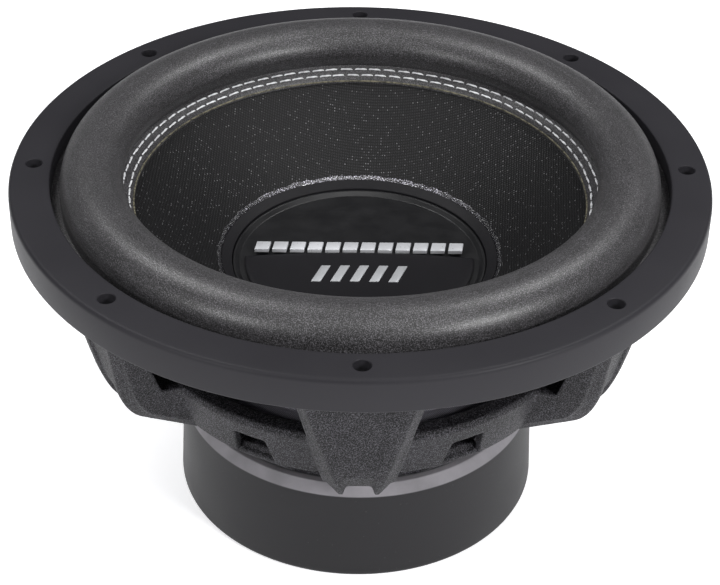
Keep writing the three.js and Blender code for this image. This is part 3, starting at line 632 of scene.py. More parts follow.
def rod(name, radius, foot, length, place=(0, 0), sides=48):
    x, y = place
    rings = [
        [(x + radius * math.cos(t), y + radius * math.sin(t), level) for t in circle(sides)]
        for level in (foot, foot + length)
    ]
    return swept(name, rings)


def shifted(obj, matrix):
    obj.data.transform(matrix)
    return obj


def moved(obj, *place):
    return shifted(obj, Matrix.Translation(Vector(place) * MM))


def rolled(obj, degrees, axis="Z"):
    return shifted(obj, Matrix.Rotation(math.radians(degrees), 4, axis))


def around(obj, azimuths):
    """Copies of a piece made at azimuth 0, turned to other azimuths. The first one is used up."""
    copies = []
    for degrees in azimuths:
        copies.append(rolled(add_object(obj.name, obj.data.copy()), degrees))
    bpy.data.objects.remove(obj)
    return copies


def evenly(count):
    return [360 / count * i for i in range(count)]


def bake(obj):
    """Puts the result of an object's modifiers into its mesh."""
    view = bpy.context.evaluated_depsgraph_get()
    mesh = bpy.data.meshes.new_from_object(obj.evaluated_get(view))
    obj.modifiers.clear()
    obj.data = mesh
    return obj


def combine(obj, others, operation):
    """Joins pieces to an object or cuts them from it, and uses them up."""
    for other in others:
        change = obj.modifiers.new("combine", "BOOLEAN")
        change.operation = operation
        change.solver = "MANIFOLD"
        change.object = other
        bake(obj)
        bpy.data.objects.remove(other)
    return obj


def bevelled(obj, width, segments=3, angle=35.0):
    change = obj.modifiers.new("edges", "BEVEL")
    change.width = width * MM
    change.segments = segments
    change.limit_method = "ANGLE"
    change.angle_limit = math.radians(angle)
    bake(obj)
    smooth(obj)
    return obj


def copy_of(node, name):
    """Sharp copy of a CAD node, without the edges inside its flat faces."""
    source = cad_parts[node]
    obj = add_object(name, source.data.copy())
    obj.data.transform(source.matrix_world)
    bm = bmesh.new()
    bm.from_mesh(obj.data)
    bmesh.ops.remove_doubles(bm, verts=bm.verts, dist=1e-6)
    bmesh.ops.dissolve_limit(bm, angle_limit=math.radians(1), verts=bm.verts, edges=bm.edges)
    bm.to_mesh(obj.data)
    bm.free()
    return obj


def joined(name, objects):
    """One object from several, which are used up."""
    bm = bmesh.new()
    for obj in objects:
        bm.from_mesh(obj.data)
        bpy.data.objects.remove(obj)
    mesh = bpy.data.meshes.new(name)
    bm.to_mesh(mesh)
    bm.free()
    obj = add_object(name, mesh)
    smooth(obj)
    return obj


def finish_piece(obj, material, body, slot, *nodes):
    """Gives a piece its material and body, and hides the CAD nodes it stands for. The slot is not used."""
    obj.data.materials.clear()
    obj.data.materials.append(material)
    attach(obj, body)
    if nodes:
        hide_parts(*nodes)


def flex_with_cone(obj, fixed_r, moving_r):
    """Lets a ring-shaped piece flex between the frame, at one radius, and the cone, at another."""
    start, end = Vector((fixed_r * MM, 0, 0)), Vector((moving_r * MM, 0, 0))
    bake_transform(obj, FRAME_BODY, CONE_BODY, start=start, end=end)
    share = obj.data.attributes["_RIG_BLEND"].data
    for vertex in obj.data.vertices:
        t = (math.hypot(vertex.co.x, vertex.co.y) / MM - fixed_r) / (moving_r - fixed_r)
        t = min(max(t, 0.0), 1.0)
        share[vertex.index].value = t * t * (3 - 2 * t)


# -------- basket
def spoke_half(r, z):
    """Half width of a spoke: both sides are flat and taper down and outwards."""
    return SPOKE_HALF_AT_KNEE + SPOKE_SPREAD_IN * (KNEE_R - r) + SPOKE_SPREAD_UP * (z - hub_z - KNEE_H)


def spoke_face():
    """Outer face of a spoke from the flange down, round the knee and in to the hub."""
    corner = Vector((KNEE_R, hub_z + KNEE_H))
    top = Vector((spoke_face_r, flange_z))
    foot = Vector((hub_r, hub_z + SPOKE_FOOT_H))
    start = corner.lerp(top, KNEE_UP / (top - corner).length)
    end = corner.lerp(foot, KNEE_IN / (foot - corner).length)
    return [top, *bend(start, corner, end, KNEE_STEPS), foot]


def spoke_body():
    flange_mid = (flange_z + flange_top) / 2
    outline = [
        (spoke_face_r + 1, flange_mid), *[(p.x, p.y) for p in spoke_face()],
        (hub_r - SPOKE_TOE, hub_z + SPOKE_FOOT_H / 2), (hub_r - SPOKE_TOE, hub_z + HUB_T - SINK),
        (hub_r + SPOKE_HEEL, hub_z + HUB_T - SINK), (LEDGE_INNER_R + SINK, ledge_z - 2 * LEDGE_T),
        (LEDGE_INNER_R + SINK, ledge_z - SINK), (LEDGE_OUTER_R + SINK, ledge_z - SINK),
        (LEDGE_OUTER_R + SINK, landing_z), (SPOKE_BACK_R, landing_z),
        (roll_outer - SPOKE_GUSSET, 2 * flange_z - flange_top), (roll_outer + SINK, flange_z),
        (roll_outer + SINK, flange_mid),
    ]
    sides = [[(side * spoke_half(r, z), -r, z) for r, z in outline] for side in (-1, 1)]
    return swept("spoke", sides)


def along_face(name, section):
    """Bar along the spoke's outer face and a little past both of its ends.

    section(half, z) gives its corners as (across, depth).
    """
    face = spoke_face()
    above, below = face[0].lerp(face[1], -FACE_PAST_TOP), face[-1].lerp(face[-2], -FACE_PAST_FOOT)
    line = [above, *face, below]
    rings = []
    for i, here in enumerate(line):
        before, after = line[max(i - 1, 0)], line[min(i + 1, len(line) - 1)]
        run = (after - before).normalized()
        inward = Vector((run.y, -run.x))
        ring = []
        for across, depth in section(spoke_half(here.x, here.y), here.y):
            point = here + inward * depth
            ring.append((across, -point.x, point.y))
        rings.append(ring)
    return swept(name, rings)


def height_share(z):
    """How far a level is up the spoke: 0 at its foot and 1 at the flange."""
    foot = hub_z + SPOKE_FOOT_H
    return min(max((z - foot) / (flange_z - foot), 0), 1)


def flute():
    """Trough down the spoke: narrow and deep at the foot, wide and shallow from above the knee."""
    def section(half, z):
        narrow = FLUTE_FLOOR / 2 + FLUTE_WALL
        spread = (FLUTE_SHARE * half - narrow) * height_share(z)
        above_knee = (z - hub_z - KNEE_H + FLUTE_SHOAL_BELOW) / FLUTE_SHOAL_H
        depth = FLUTE_DEPTH + (FLUTE_DEPTH_UP - FLUTE_DEPTH) * min(max(above_knee, 0), 1)
        mouth, floor = narrow + spread, FLUTE_FLOOR / 2 + spread * FLUTE_FLOOR_SPREAD
        return [(-mouth, -PAST), (mouth, -PAST), (floor, depth), (-floor, depth)]
    return along_face("flute", section)


def spoke_bevel(hand):
    """Flat along a side of the spoke's face, wider towards the foot."""
    def section(half, z):
        width = SPOKE_BEVEL_FOOT + (SPOKE_BEVEL - SPOKE_BEVEL_FOOT) * height_share(z)
        # the cut itself, then two corners well clear of the spoke
        return [
            (hand * (half - width), 0), (hand * (half + PAST), width + PAST),
            (hand * (half + 5), width - 2), (hand * (half - width), -4),
        ]
    return along_face("bevel", section)


def window_cutter():
    outline = [
        (-WINDOW_HALF_FOOT, -PAST), (WINDOW_HALF_FOOT, -PAST),
        (WINDOW_HALF_TOP, WINDOW_H), (-WINDOW_HALF_TOP, WINDOW_H),
    ]
    outside_r = LANDING_R + WINDOW_PAST
    rings = [[(x, -r, band_foot_z + z) for x, z in outline] for r in (SILL_R, outside_r)]
    return swept("window", rings)


def window_sill():
    back_r = BAND_FOOT_R - 1.3 * BAND_T  # behind the band's sloping wall
    outline = [
        (hub_r - SILL_T, hub_z + SINK), (hub_r + SILL_T, hub_z + SPOKE_FOOT_H),
        (back_r, band_foot_z - BAND_T), (back_r, band_foot_z), (SILL_R - SINK, band_foot_z + SILL_H),
        (SILL_R - SILL_T, band_foot_z + SILL_H), (hub_r - SILL_T, hub_z + HUB_T - SINK),
    ]
    half = WINDOW_HALF_FOOT + SILL_SIDE
    return swept("sill", [[(side * half, -r, z) for r, z in outline] for side in (-1, 1)])


def terminal_pads():
    pads = []
    for side in ("left", "right"):
        block = f"terminal_block_{side}"
        front = low(block, Y) - GAP
        width, height = span(block, X) - 2 * PAD_SIDE, span(block, Z) - 2 * PAD_END
        place = (middle(block, X), front - PAD_DEPTH / 2, low(block, Z) + PAD_END)
        pads.append(box("pad", (width, PAD_DEPTH, height), place))
    return pads


def screw_holes():
    foot = flange_z - HOLE_CUT_BELOW
    hole = rod("hole", SCREW_HOLE_R, foot, HOLE_CUT_H, (0, -screw_circle_r))
    return around(hole, evenly(SCREW_HOLES))


def basket():
    """Cast basket, built from solids, then skinned in fine voxels that round every edge softly."""
    flange = washer("basket_casting", roll_outer, flange_r, flange_z, flange_top)
    landing = turned("landing", [
        (LEDGE_INNER_R, ledge_z - LEDGE_T), (LEDGE_INNER_R, ledge_z), (LEDGE_OUTER_R, ledge_z),
        (LEDGE_OUTER_R, landing_z), (LANDING_R, landing_z), (band_outer_r, landing_z - BAND_CHAMFER_H),
        (BAND_FOOT_R, band_foot_z), (BAND_FOOT_R - BAND_T, band_foot_z), (LEDGE_OUTER_R, ledge_z - LEDGE_T),
    ])
    hub = washer("hub", bore("basket"), hub_r, hub_z, hub_z + HUB_T)
    spider_room = washer("room", 0, LEDGE_OUTER_R, ledge_z, landing_z + ROOM_ABOVE)
    windows = [WINDOW_TURN, -WINDOW_TURN, 120 - WINDOW_TURN, WINDOW_TURN - 120]
    combine(flange, [
        landing, hub, *around(spoke_body(), evenly(SPOKES)), *around(window_sill(), windows),
        *terminal_pads(),
    ], "UNION")
    combine(flange, [
        *around(flute(), evenly(SPOKES)), *around(spoke_bevel(1), evenly(SPOKES)),
        *around(spoke_bevel(-1), evenly(SPOKES)), *around(window_cutter(), windows),
        *screw_holes(), spider_room,
    ], "DIFFERENCE")
    skin = flange.modifiers.new("skin", "REMESH")
    skin.mode = "VOXEL"
    skin.voxel_size = VOXEL * MM
    soften = flange.modifiers.new("soften", "SMOOTH")
    soften.factor = 0.5
    soften.iterations = 2
    bake(flange)
    smooth(flange, 50)
    finish_piece(flange, cast_metal(), FRAME_BODY, "cast_basket", "basket")


# -------- ring, surround, cone
def trim_ring():
    skirt_r = ring_r - RING_SKIRT
    outline = filleted([
        (ring_inner, lip_top, 0.3), (lip_r + GAP, lip_top), (lip_r + GAP, flange_top), (skirt_r, flange_top),
        (skirt_r, flange_z, 0.3), (ring_r, flange_z, RING_FOOT_ROUND),
        (ring_r, ring_top, RING_OUTER_ROUND), (ring_inner, ring_top, RING_INNER_ROUND),
    ])
    ring = turned("trim_ring_moulding", outline, 320)
    combine(ring, screw_holes(), "DIFFERENCE")
    countersink = turned("edge", [
        (0, ring_top - HOLE_EDGE), (SCREW_HOLE_R - 0.05, ring_top - HOLE_EDGE),
        (SCREW_HOLE_R + HOLE_EDGE, ring_top + 0.05), (SCREW_HOLE_R + HOLE_EDGE, ring_top + 1),
        (0, ring_top + 1),
    ], 48)
    moved(countersink, 0, -screw_circle_r, 0)
    combine(ring, around(countersink, evenly(SCREW_HOLES)), "DIFFERENCE")
    smooth(ring, 30)
    finish_piece(ring, satin_plastic("ring_plastic", 0.023), FRAME_BODY, "trim_plastic", "trim_ring")


def lip_z(r):
    """Underside of the surround's stitched lip."""
    return cone_rim_z + CONE_T + LIP_SLOPE * (r - lip_inner)


def roll(inset, steps):
    """Half-roll of the surround from its inner foot to its outer one."""
    half, rise = ROLL_W / 2 - inset, ROLL_RISE - inset
    turns = (math.pi * (1 - t) for t in shares(steps))
    return [(roll_mid + half * math.cos(turn), roll_axis + rise * math.sin(turn)) for turn in turns]


def surround():
    """Foam half roll with its stitched lip inside and its clamped lip outside."""
    inner_foot = (stitched_r, lip_z(stitched_r) + FOAM_T)
    outer = roll(0, 36)
    join = [
        (inner_foot[0] - 0.6, lip_z(stitched_r - 0.6) + FOAM_T),
        (inner_foot[0] - 0.1, inner_foot[1] + 0.25),
    ]
    outline = [
        (lip_inner, lip_z(lip_inner)), (lip_inner, lip_z(lip_inner) + 0.9),
        (lip_inner + 0.9, lip_z(lip_inner + 0.9) + 1.3), (lip_inner + 1.5, lip_z(lip_inner + 1.5) + FOAM_T),
        *join, *outer,
        (roll_outer, lip_top + 0.4), (roll_outer + 0.4, lip_top), (lip_r, lip_top), (lip_r, flange_top),
        (roll_outer - FOAM_T, flange_top), *reversed(roll(FOAM_T, 24)),
        (stitched_r + FOAM_T / 2, lip_z(stitched_r) + 0.4),
    ]
    obj = turned("foam_surround", outline, 320, 60)
    flex_with_cone(obj, roll_outer - 1.5, roll_inner + 1)
    finish_piece(obj, foam(), FRAME_BODY, "foam", "surround")


def lip_welt():
    """Cut edge of the backing cloth along the inside of the stitched lip."""
    r, z = lip_inner + 0.35, lip_z(lip_inner) + 1.15
    outline = [(r + 0.45 * math.cos(turn), z + 0.4 * math.sin(turn)) for turn in circle(8)]
    obj = turned("lip_welt", outline, crease=60)
    finish_piece(obj, backing_cloth(), CONE_BODY, "foam")


def cone_z(r):
    return neck_z + cone_slope * (r - neck_r)


def cone():
    lean = CONE_T * math.hypot(1, cone_slope)
    rim = stitched_r + GAP
    radii = [neck_r + (cone_rim_r - neck_r) * t for t in shares(24)]
    face = [(r, cone_z(r)) for r in radii]
    back = [(r + 0.9, cone_z(r + 0.9) - lean) for r in reversed(radii[1:])]
    outline = [
        (neck_r, neck_z - NECK_H), *face, (lip_inner, lip_z(lip_inner) - GAP), (rim, lip_z(rim) - GAP),
        (rim, lip_z(rim) - GAP - CONE_T), *back, (neck_r + NECK_T, neck_z - NECK_H),
    ]
    obj = turned("woven_cone", outline, crease=50)
    cloth = weave("cone_weave", 1.15, 0.0015, 0.009, 0.4, turn=4, depth=0.12)
    finish_piece(obj, cloth, CONE_BODY, "cone_weave", "cone")


def stitch_row(name, radius, phase):
    """Row of separate two-ply stitches: each lies along the lip and dips into it at both ends."""
    pieces = []
    pitch = 2 * math.pi / STITCHES
    half = pitch * STITCH_SHARE
    seat = lip_z(radius) + FOAM_T
    normal = Vector((-LIP_SLOPE, 1)).normalized()
    spread = random.Random(7)
    for i in range(STITCHES):
        start = (i + phase) * pitch + spread.uniform(-STITCH_STRAY, STITCH_STRAY) * pitch
        lean = spread.uniform(-STITCH_LEAN, STITCH_LEAN)
        rings = []
        for share in shares(10):
            t = 2 * share - 1
            turn = start + half * t
            rise = 0.3 - 0.6 * t ** 8  # flat on top, with both ends in the lip
            thick = STITCH_R * (1 - 0.25 * t ** 4)
            centre = Vector((radius + lean * t, seat)) + normal * rise
            ring = []
            for phi in circle(8):
                lobe = thick * (1 + 0.2 * math.cos(2 * phi + 5 * t))
                r = centre.x + lobe * math.cos(phi)
                ring.append(polar(r, turn, centre.y + lobe * 0.8 * math.sin(phi)))
            rings.append(ring)
        pieces.append(swept("stitch", rings))
    return joined(name, pieces)


def stitching():
    material = thread()
    inner = lip_inner + STITCH_IN
    rows = (("inner", inner, 0.0), ("outer", inner + STITCH_PITCH, 0.45))
    for name, radius, phase in rows:
        row = stitch_row(f"thread_row_{name}", radius, phase)
        finish_piece(row, material, CONE_BODY, "thread", f"stitch_{name}")
    lip_welt()


# -------- dust cap
CAP_RING_PROUD = 1
CAP_RING_FLATTER = 0.575
CAP_SEAT_GAP = 0.4
CAP_STEP = 4.6
CAP_SUNK = 2.2
CAP_EDGE_DROP = 0.6
CAP_T = 1.5
CAP_DOME = 1.6
PLATEAU_EDGE_Y = 1.0
PLATEAU_BOW = 1.6
PLATEAU_RISE = 1.3
PLATEAU_FLAT = 0.975  # share of its outline inside the rounded rim
EMBLEM_SEGMENTS = 12
STROKES = 5
STROKE_PITCH = 9
STROKE_Y = -15
STROKE_W = 4.4
STROKE_L = 13
STROKE_LEAN = 2.4
EMBLEM_FILL = 0.8  # a segment's share of its pitch
EMBLEM_LEAN = 0.5
GLUE_T = 1.0
GLUE_WIDE = 1.1
GLUE_HIGH = 0.6
GLUE_LIFT = 0.15
GLUE_UNEVEN = 0.35

cap_z = cone_z(cap_r)
cap_ring_inner_z = cap_z + CAP_RING_PROUD - (cap_r - cap_inner) * CAP_RING_FLATTER * cone_slope
cap_floor_r = cap_inner - GAP - CAP_STEP
cap_floor_z = cap_ring_inner_z - CAP_SUNK


def cap_level(x, y):
    """Height of the cap's shallow dome."""
    return cap_floor_z + CAP_DOME * (1 - (x * x + y * y) / cap_floor_r ** 2)


def cap_ring():
    keel_r = (cap_r + cap_inner) / 2
    outline = filleted([
        (cap_r, cap_z + CAP_SEAT_GAP, 0.1), (cap_r, cap_z + CAP_RING_PROUD, 0.4),
        (cap_inner, cap_ring_inner_z, 0.5), (cap_inner, cone_z(cap_inner) + 2 * CAP_SEAT_GAP, 0.1),
        (keel_r, cone_z(keel_r) + CAP_SEAT_GAP, 0.1),
    ])
    obj = turned("cap_collar", outline)
    plastic = satin_plastic("collar_plastic", 0.009, 0.5)
    finish_piece(obj, plastic, CONE_BODY, "trim_plastic", "cap_ring")


def glue_bead():
    """Glue squeezed out between the cone and the cap's collar, uneven all the way round."""
    rings = []
    count = 300
    for i in range(count + 1):
        turn = 2 * math.pi * i / count
        wobble = (
            0.25 * math.sin(23 * turn) + 0.2 * math.sin(57 * turn + 1) + 0.15 * math.sin(131 * turn + 2)
        )
        centre_r = cap_r + GLUE_T + GLUE_UNEVEN * wobble
        thick = GLUE_T * (1 + GLUE_UNEVEN * wobble)
        seat = cone_z(centre_r) + GLUE_LIFT
        ring = []
        for phi in circle(8):
            out = thick * GLUE_WIDE * math.cos(phi)
            up = thick * GLUE_HIGH * math.sin(phi) + cone_slope * out
            ring.append(polar(centre_r + out, turn, seat + up))
        rings.append(ring)
    obj = swept("glue_bead", rings, closed_ends=False)
    finish_piece(obj, glue(), CONE_BODY, "cone_weave")


def dust_cap():
    edge_r = cap_inner - GAP
    radii = [cap_floor_r * (1 - t) for t in shares(10)[1:]]
    dome = [(r, cap_level(r, 0)) for r in radii]
    edge_z = cap_ring_inner_z - CAP_EDGE_DROP
    top = filleted([
        (edge_r, cone_z(edge_r) + CAP_SEAT_GAP), (edge_r, edge_z, 0.6),
        (edge_r - 1.2, edge_z, 0.5), (cap_floor_r + 1.4, cap_floor_z - 0.3, 0.8),
        (cap_floor_r, cap_floor_z, 0.4),
    ])
    underside = [(r, z - CAP_T) for r, z in reversed(dome)]
    outline = [*top, *dome, *underside, (cap_floor_r + 1, cap_floor_z - CAP_T)]
    gloss = gloss_plastic("cap_gloss", (0.007, 0.007, 0.008), 0.34)
    finish_piece(turned("cap_shell", outline, crease=30), gloss, CONE_BODY, "cap_gloss", "dust_cap")
    plateau()


def plateau():
    """Raised front half of the cap, domed, with a softly rounded rim and a slightly bowed back edge."""
    radius = cap_floor_r - 1
    rim = []
    start = math.asin(PLATEAU_EDGE_Y / radius)
    for t in shares(64):
        turn = math.pi - start + (math.pi + 2 * start) * t
        rim.append((radius * math.cos(turn), radius * math.sin(turn)))
    for t in shares(48)[1:-1]:
        across = radius * math.cos(start) * (1 - 2 * t)
        rim.append((across, PLATEAU_EDGE_Y + PLATEAU_BOW * math.sin(math.pi * t)))
    centre_y = -radius * 0.4

    def inset(share):
        return [(x * share, centre_y + (y - centre_y) * share) for x, y in rim]

    rings = []
    edge = (
        (1.0, -0.5), (1.0, PLATEAU_RISE - 0.5),
        (0.992, PLATEAU_RISE - 0.15), (PLATEAU_FLAT, PLATEAU_RISE),
    )
    for share, lift in edge:
        rings.append([
            (*place, cap_level(x * share, y * share) + lift)
            for place, (x, y) in zip(inset(share), rim)
        ])
    for t in shares(24)[1:-1]:
        places = inset(PLATEAU_FLAT * (1 - t))
        rings.append([(x, y, cap_level(x, y) + PLATEAU_RISE) for x, y in places])
    plastic = satin_plastic("plateau_plastic", 0.011, 0.4)
    finish_piece(swept("cap_plateau", rings), plastic, CONE_BODY, "cap_gloss")


def slanted_bar(width, depth, foot, top, x, y, lean):
    """Raised bar whose plan is a slanted parallelogram."""
    corners = [(-width / 2 - lean, -depth / 2), (width / 2 - lean, -depth / 2),
               (width / 2 + lean, depth / 2), (-width / 2 + lean, depth / 2)]
    rings = [[(x + dx, y + dy, level) for dx, dy in corners] for level in (foot, top)]
    return bevelled(swept("bar", rings), 0.18, 2)


def emblem():
    """Plain raised bar of slanted segments in place of any lettering, and plain strokes below it."""
    foot, top = low("cap_emblem", Z), high("cap_emblem", Z)
    width, depth = span("cap_emblem", X), span("cap_emblem", Y)
    y = middle("cap_emblem", Y)
    pitch = width / EMBLEM_SEGMENTS
    bars = []
    for i in range(EMBLEM_SEGMENTS):
        x = (i + 0.5) * pitch - width / 2
        bars.append(slanted_bar(pitch * EMBLEM_FILL, depth, foot, top, x, y, EMBLEM_LEAN))
    silver = metal("emblem_metal", (0.72, 0.73, 0.76), 0.34, metallic=0.3)
    finish_piece(joined("emblem_bar", bars), silver, CONE_BODY, "silver_trim", "cap_emblem")

    strokes = []
    for i in range(STROKES):
        x = (i - STROKES // 2) * STROKE_PITCH
        level = cap_level(x, STROKE_Y) + PLATEAU_RISE
        strokes.append(slanted_bar(
            STROKE_W, STROKE_L, level - 0.3, level + 0.25, x, STROKE_Y, STROKE_LEAN,
        ))
    grey_metal = metal("stroke_metal", (0.5, 0.51, 0.53), 0.4, metallic=0.3)
    finish_piece(joined("cap_strokes", strokes), grey_metal, CONE_BODY, "silver_trim")


# -------- motor
WIRE_TURNS = 40
WIRE_BULGE = 0.25
POLE_CLEARANCE = 0.6
POLE_GROOVE = 4
VENT_FLARE = 3
SCREEN_PITCH = 3
SCREEN_HOLE_R = 1.05
SCREEN_RIM = 2


def magnet_boot():
    """Rubber boot round the magnets: a slightly flared wall with a sloping shoulder and a lip below."""
    mouth_r = bore("magnet_boot")
    wall_r = high("magnet_upper", X) + GAP
    seat_z = low("top_plate", Z) + GAP
    lip_top_z = low("magnet_boot", Z) + BOOT_LIP_T
    upper_r = boot_r - BOOT_FLARE
    outline = filleted([
        (mouth_r, 0, 0.3), (boot_r, 0, BOOT_FOOT_ROUND),
        (upper_r, boot_top - BOOT_CHAMFER_H, BOOT_ROUND), (upper_r - BOOT_CHAMFER_IN, boot_top, BOOT_ROUND),
        (plate_r + GAP, boot_top, 0.3), (plate_r + GAP, seat_z), (wall_r, seat_z), (wall_r, lip_top_z),
        (mouth_r, lip_top_z, 0.3),
    ])
    obj = turned("rubber_boot", outline)
    finish_piece(obj, rubber(), FRAME_BODY, "boot_rubber", "magnet_boot")


def fine_tube(name, node, material, body, slot, ripple=0.0, turns=1):
    """Fine round version of a plain ring. A wound one has wire turns on its outside."""
    inner, outer, foot, top = bore(node), high(node, X), low(node, Z), high(node, Z)
    if ripple:
        steps = 8
        step_h = (top - foot) / (steps * turns)
        wall = [
            (outer - ripple + ripple * math.sin(math.pi * (k % steps) / steps), foot + step_h * k)
            for k in range(steps * turns + 1)
        ]
        outline = [(inner, foot), *wall, (inner, top)]
    else:
        edge = min(0.5, (outer - inner) / 3)
        corners = [(inner, foot), (outer, foot), (outer, top), (inner, top)]
        outline = filleted([(r, z, edge) for r, z in corners], 3)
    obj = turned(name, outline, 160, 60)
    finish_piece(obj, material, body, slot, node)


def motor():
    steel = metal("plate_steel", (0.3, 0.31, 0.32), 0.42, (1, 1, 30))
    silver = metal("former_metal", (0.62, 0.63, 0.65), 0.35, (1, 1, 20))
    copper = metal("copper_wire", (0.66, 0.3, 0.14), 0.3)
    stone = ferrite()
    fine_tube("upper_plate", "top_plate", steel, FRAME_BODY, "motor_steel")
    for place in ("upper", "lower"):
        fine_tube(f"{place}_magnet", f"magnet_{place}", stone, FRAME_BODY, "ferrite")
    fine_tube("demodulation_ring", "shorting_ring", silver, FRAME_BODY, "coil_former")
    fine_tube("coil_former", "voice_coil_former", silver, CONE_BODY, "coil_former")
    for place in ("inner", "outer"):
        node = f"coil_winding_{place}"
        fine_tube(f"{place}_winding", node, copper, CONE_BODY, "coil_wire", WIRE_BULGE, WIRE_TURNS)
    yoke(steel)


def yoke(steel):
    """Back plate and pole in one piece, with the vent through it."""
    foot, top = low("yoke", Z), high("yoke", Z)
    outer, vent = high("yoke", X), bore("yoke")
    plate_top = low("magnet_lower", Z)
    pole_r = bore("voice_coil_former") - POLE_CLEARANCE
    groove_r = bore("shorting_ring") - GAP
    groove_z = plate_top - POLE_GROOVE
    mouth = vent + VENT_FLARE
    outline = filleted([
        (mouth, foot, 0.4), (outer, foot, 0.8), (outer, plate_top, 0.5), (groove_r, plate_top, 0.4),
        (groove_r, groove_z, 0.4), (pole_r, groove_z, 0.6), (pole_r, top, 1.0), (mouth, top, 0.6),
        (vent, top - VENT_FLARE, 1.0), (vent, foot + 2.5), (mouth, foot + 1.5),
    ])
    finish_piece(turned("back_plate_and_pole", outline, 160), steel, FRAME_BODY, "motor_steel", "yoke")


def vent_screen():
    """Round screen of drilled sheet in the vent's lower mouth."""
    radius, foot, top = high("vent_screen", X), low("vent_screen", Z), high("vent_screen", Z)
    disc = rod("vent_mesh", radius, foot, top - foot, sides=96)
    holes = []
    for row in range(-5, 6):
        for column in range(-5, 6):
            x = (column + 0.5 * (row % 2)) * SCREEN_PITCH
            y = row * SCREEN_PITCH * math.sqrt(3) / 2
            if math.hypot(x, y) < radius - SCREEN_RIM:
                holes.append(rod("hole", SCREEN_HOLE_R, foot - PAST, top - foot + 2 * PAST, (x, y), 16))
    combine(disc, [joined("holes", holes)], "DIFFERENCE")
    smooth(disc, 30)
    screen = metal("screen_metal", (0.3, 0.3, 0.31), 0.4)
    finish_piece(disc, screen, FRAME_BODY, "screw_steel", "vent_screen")


# -------- screws, terminals and leads
HEAD_PER_SHANK = 2
FACETING = 1.03  # round head over the width of the faceted CAD head
TERMINAL_HEAD_H = 2.2
GRIP_R = 0.7
GRIP_PITCH = 2.2
LEAD_UNDER = 3.6  # below the back of the cone
LEAD_R = 0.72
BUNDLE_R = 0.46
BUNDLE_TWIST = 0.55
SPIDER_T = 0.8
SPIDER_WAVE_H = 2.6
SPIDER_COLLAR_T = 1.6
SPIDER_COLLAR_H = 3


def pan_head_screw(name, shank, length, head_h):
    """Screw along +Z from its tip at 0, with a pan head and a cross recess."""
    head = HEAD_PER_SHANK * shank
    thread_points = []
    turns = max(int(length), 3)
    for k in range(turns):
        base = length * k / turns
        thread_points += [(shank * 0.82, base), (shank, base + 0.35 * length / turns)]
    outline = [
        (0, 0), *thread_points, (shank, length),
        (head, length), (head, length + head_h * 0.35), (head * 0.93, length + head_h * 0.7),
        (head * 0.75, length + head_h * 0.92), (head * 0.5, length + head_h), (0, length + head_h),
    ]
    screw = turned(name, outline, 40, 40)
    recess = (0, 0, length + head_h * 0.35)
    arms = [
        box("arm", (head, head * 0.24, head_h), recess), box("arm", (head * 0.24, head, head_h), recess),
    ]
    combine(screw, arms, "DIFFERENCE")
    smooth(screw, 35)
    return screw


def plate_screws(steel):
    for i in range(1, SPOKES + 1):
        node = f"plate_screw_{i}"
        shank = span(node, X) / 2 / HEAD_PER_SHANK
        seat = hub_z + HUB_T
        screw = pan_head_screw(f"hub_bolt_{i}", shank, seat - low(node, Z), high(node, Z) - seat)
        rolled(screw, 25 * i)
        moved(screw, middle(node, X), middle(node, Y), low(node, Z))
        finish_piece(screw, steel, FRAME_BODY, "screw_steel", node)


def terminal_screw(side, steel):
    node = f"terminal_screw_{side}"
    shank = span(node, X) / 2 / HEAD_PER_SHANK * FACETING
    length = span(node, Y) - TERMINAL_HEAD_H
    screw = pan_head_screw(f"block_screw_{side}", shank, length, TERMINAL_HEAD_H)
    rolled(screw, -90, "X")
    moved(screw, middle(node, X), low(node, Y), middle(node, Z))
    finish_piece(screw, steel, FRAME_BODY, "screw_steel", node)


def push_button(pair, material):
    """Spring button with a ribbed face."""
    node = f"button_{pair}"
    width, length, height = (span(node, axis) for axis in (X, Y, Z))
    x, y, z = (middle(node, axis) for axis in (X, Y, Z))
    body = box("body", (width, length, height), (x, y, low(node, Z)))
    grooves = []
    for row in (-1, 0, 1):
        groove = rolled(rod("groove", GRIP_R, -width, 2 * width, sides=20), 90, "Y")
        grooves.append(moved(groove, x, high(node, Y) + 0.15, z + row * GRIP_PITCH))
    combine(body, grooves, "DIFFERENCE")
    obj = bevelled(body, 0.25, 2, 50)
    obj.name = f"push_{pair}"
    slot = "red_plastic" if pair.endswith("plus") else "black_plastic"
    finish_piece(obj, material, f"button_{pair}", slot, node)


def lead_path(pair):
    """Route of a lead from its contact tab, over the landing, to the back of the cone."""
    contact = f"contact_{pair}"
    cx, strip_y, tab_z = middle(contact, X), middle(contact, Y), high(contact, Z)
    turn = math.atan2(cx, strip_y)
    lean = CONE_T * math.hypot(1, cone_slope)
    back_z = cone_z(cap_r) - lean - LEAD_UNDER
    near_tab = [
        (cx, strip_y, tab_z + 0.5), (cx * 0.99, strip_y - 1, tab_z + 5),
        (cx * 0.88, strip_y * 0.86, tab_z + 8),
    ]
    near_cone = [(cap_r + 16, back_z - 2), (cap_r + 4, back_z), (cap_r, back_z + 1.2)]
    points = [*near_tab, *((math.sin(turn) * r, math.cos(turn) * r, z) for r, z in near_cone)]
    return [Vector(point) for point in points]


def curve_through(points, steps):
    """Catmull-Rom curve through the points."""
    ends = [2 * points[0] - points[1], *points, 2 * points[-1] - points[-2]]
    curve = []
    for i in range(1, len(ends) - 2):
        a, b, c, d = ends[i - 1:i + 3]
        for k in range(steps):
            t = k / steps
            curve.append(0.5 * (2 * b + (c - a) * t + (2 * a - 5 * b + 4 * c - d) * t ** 2
                                + (3 * b - a - 3 * c + d) * t ** 3))
    curve.append(points[-1])
    return curve


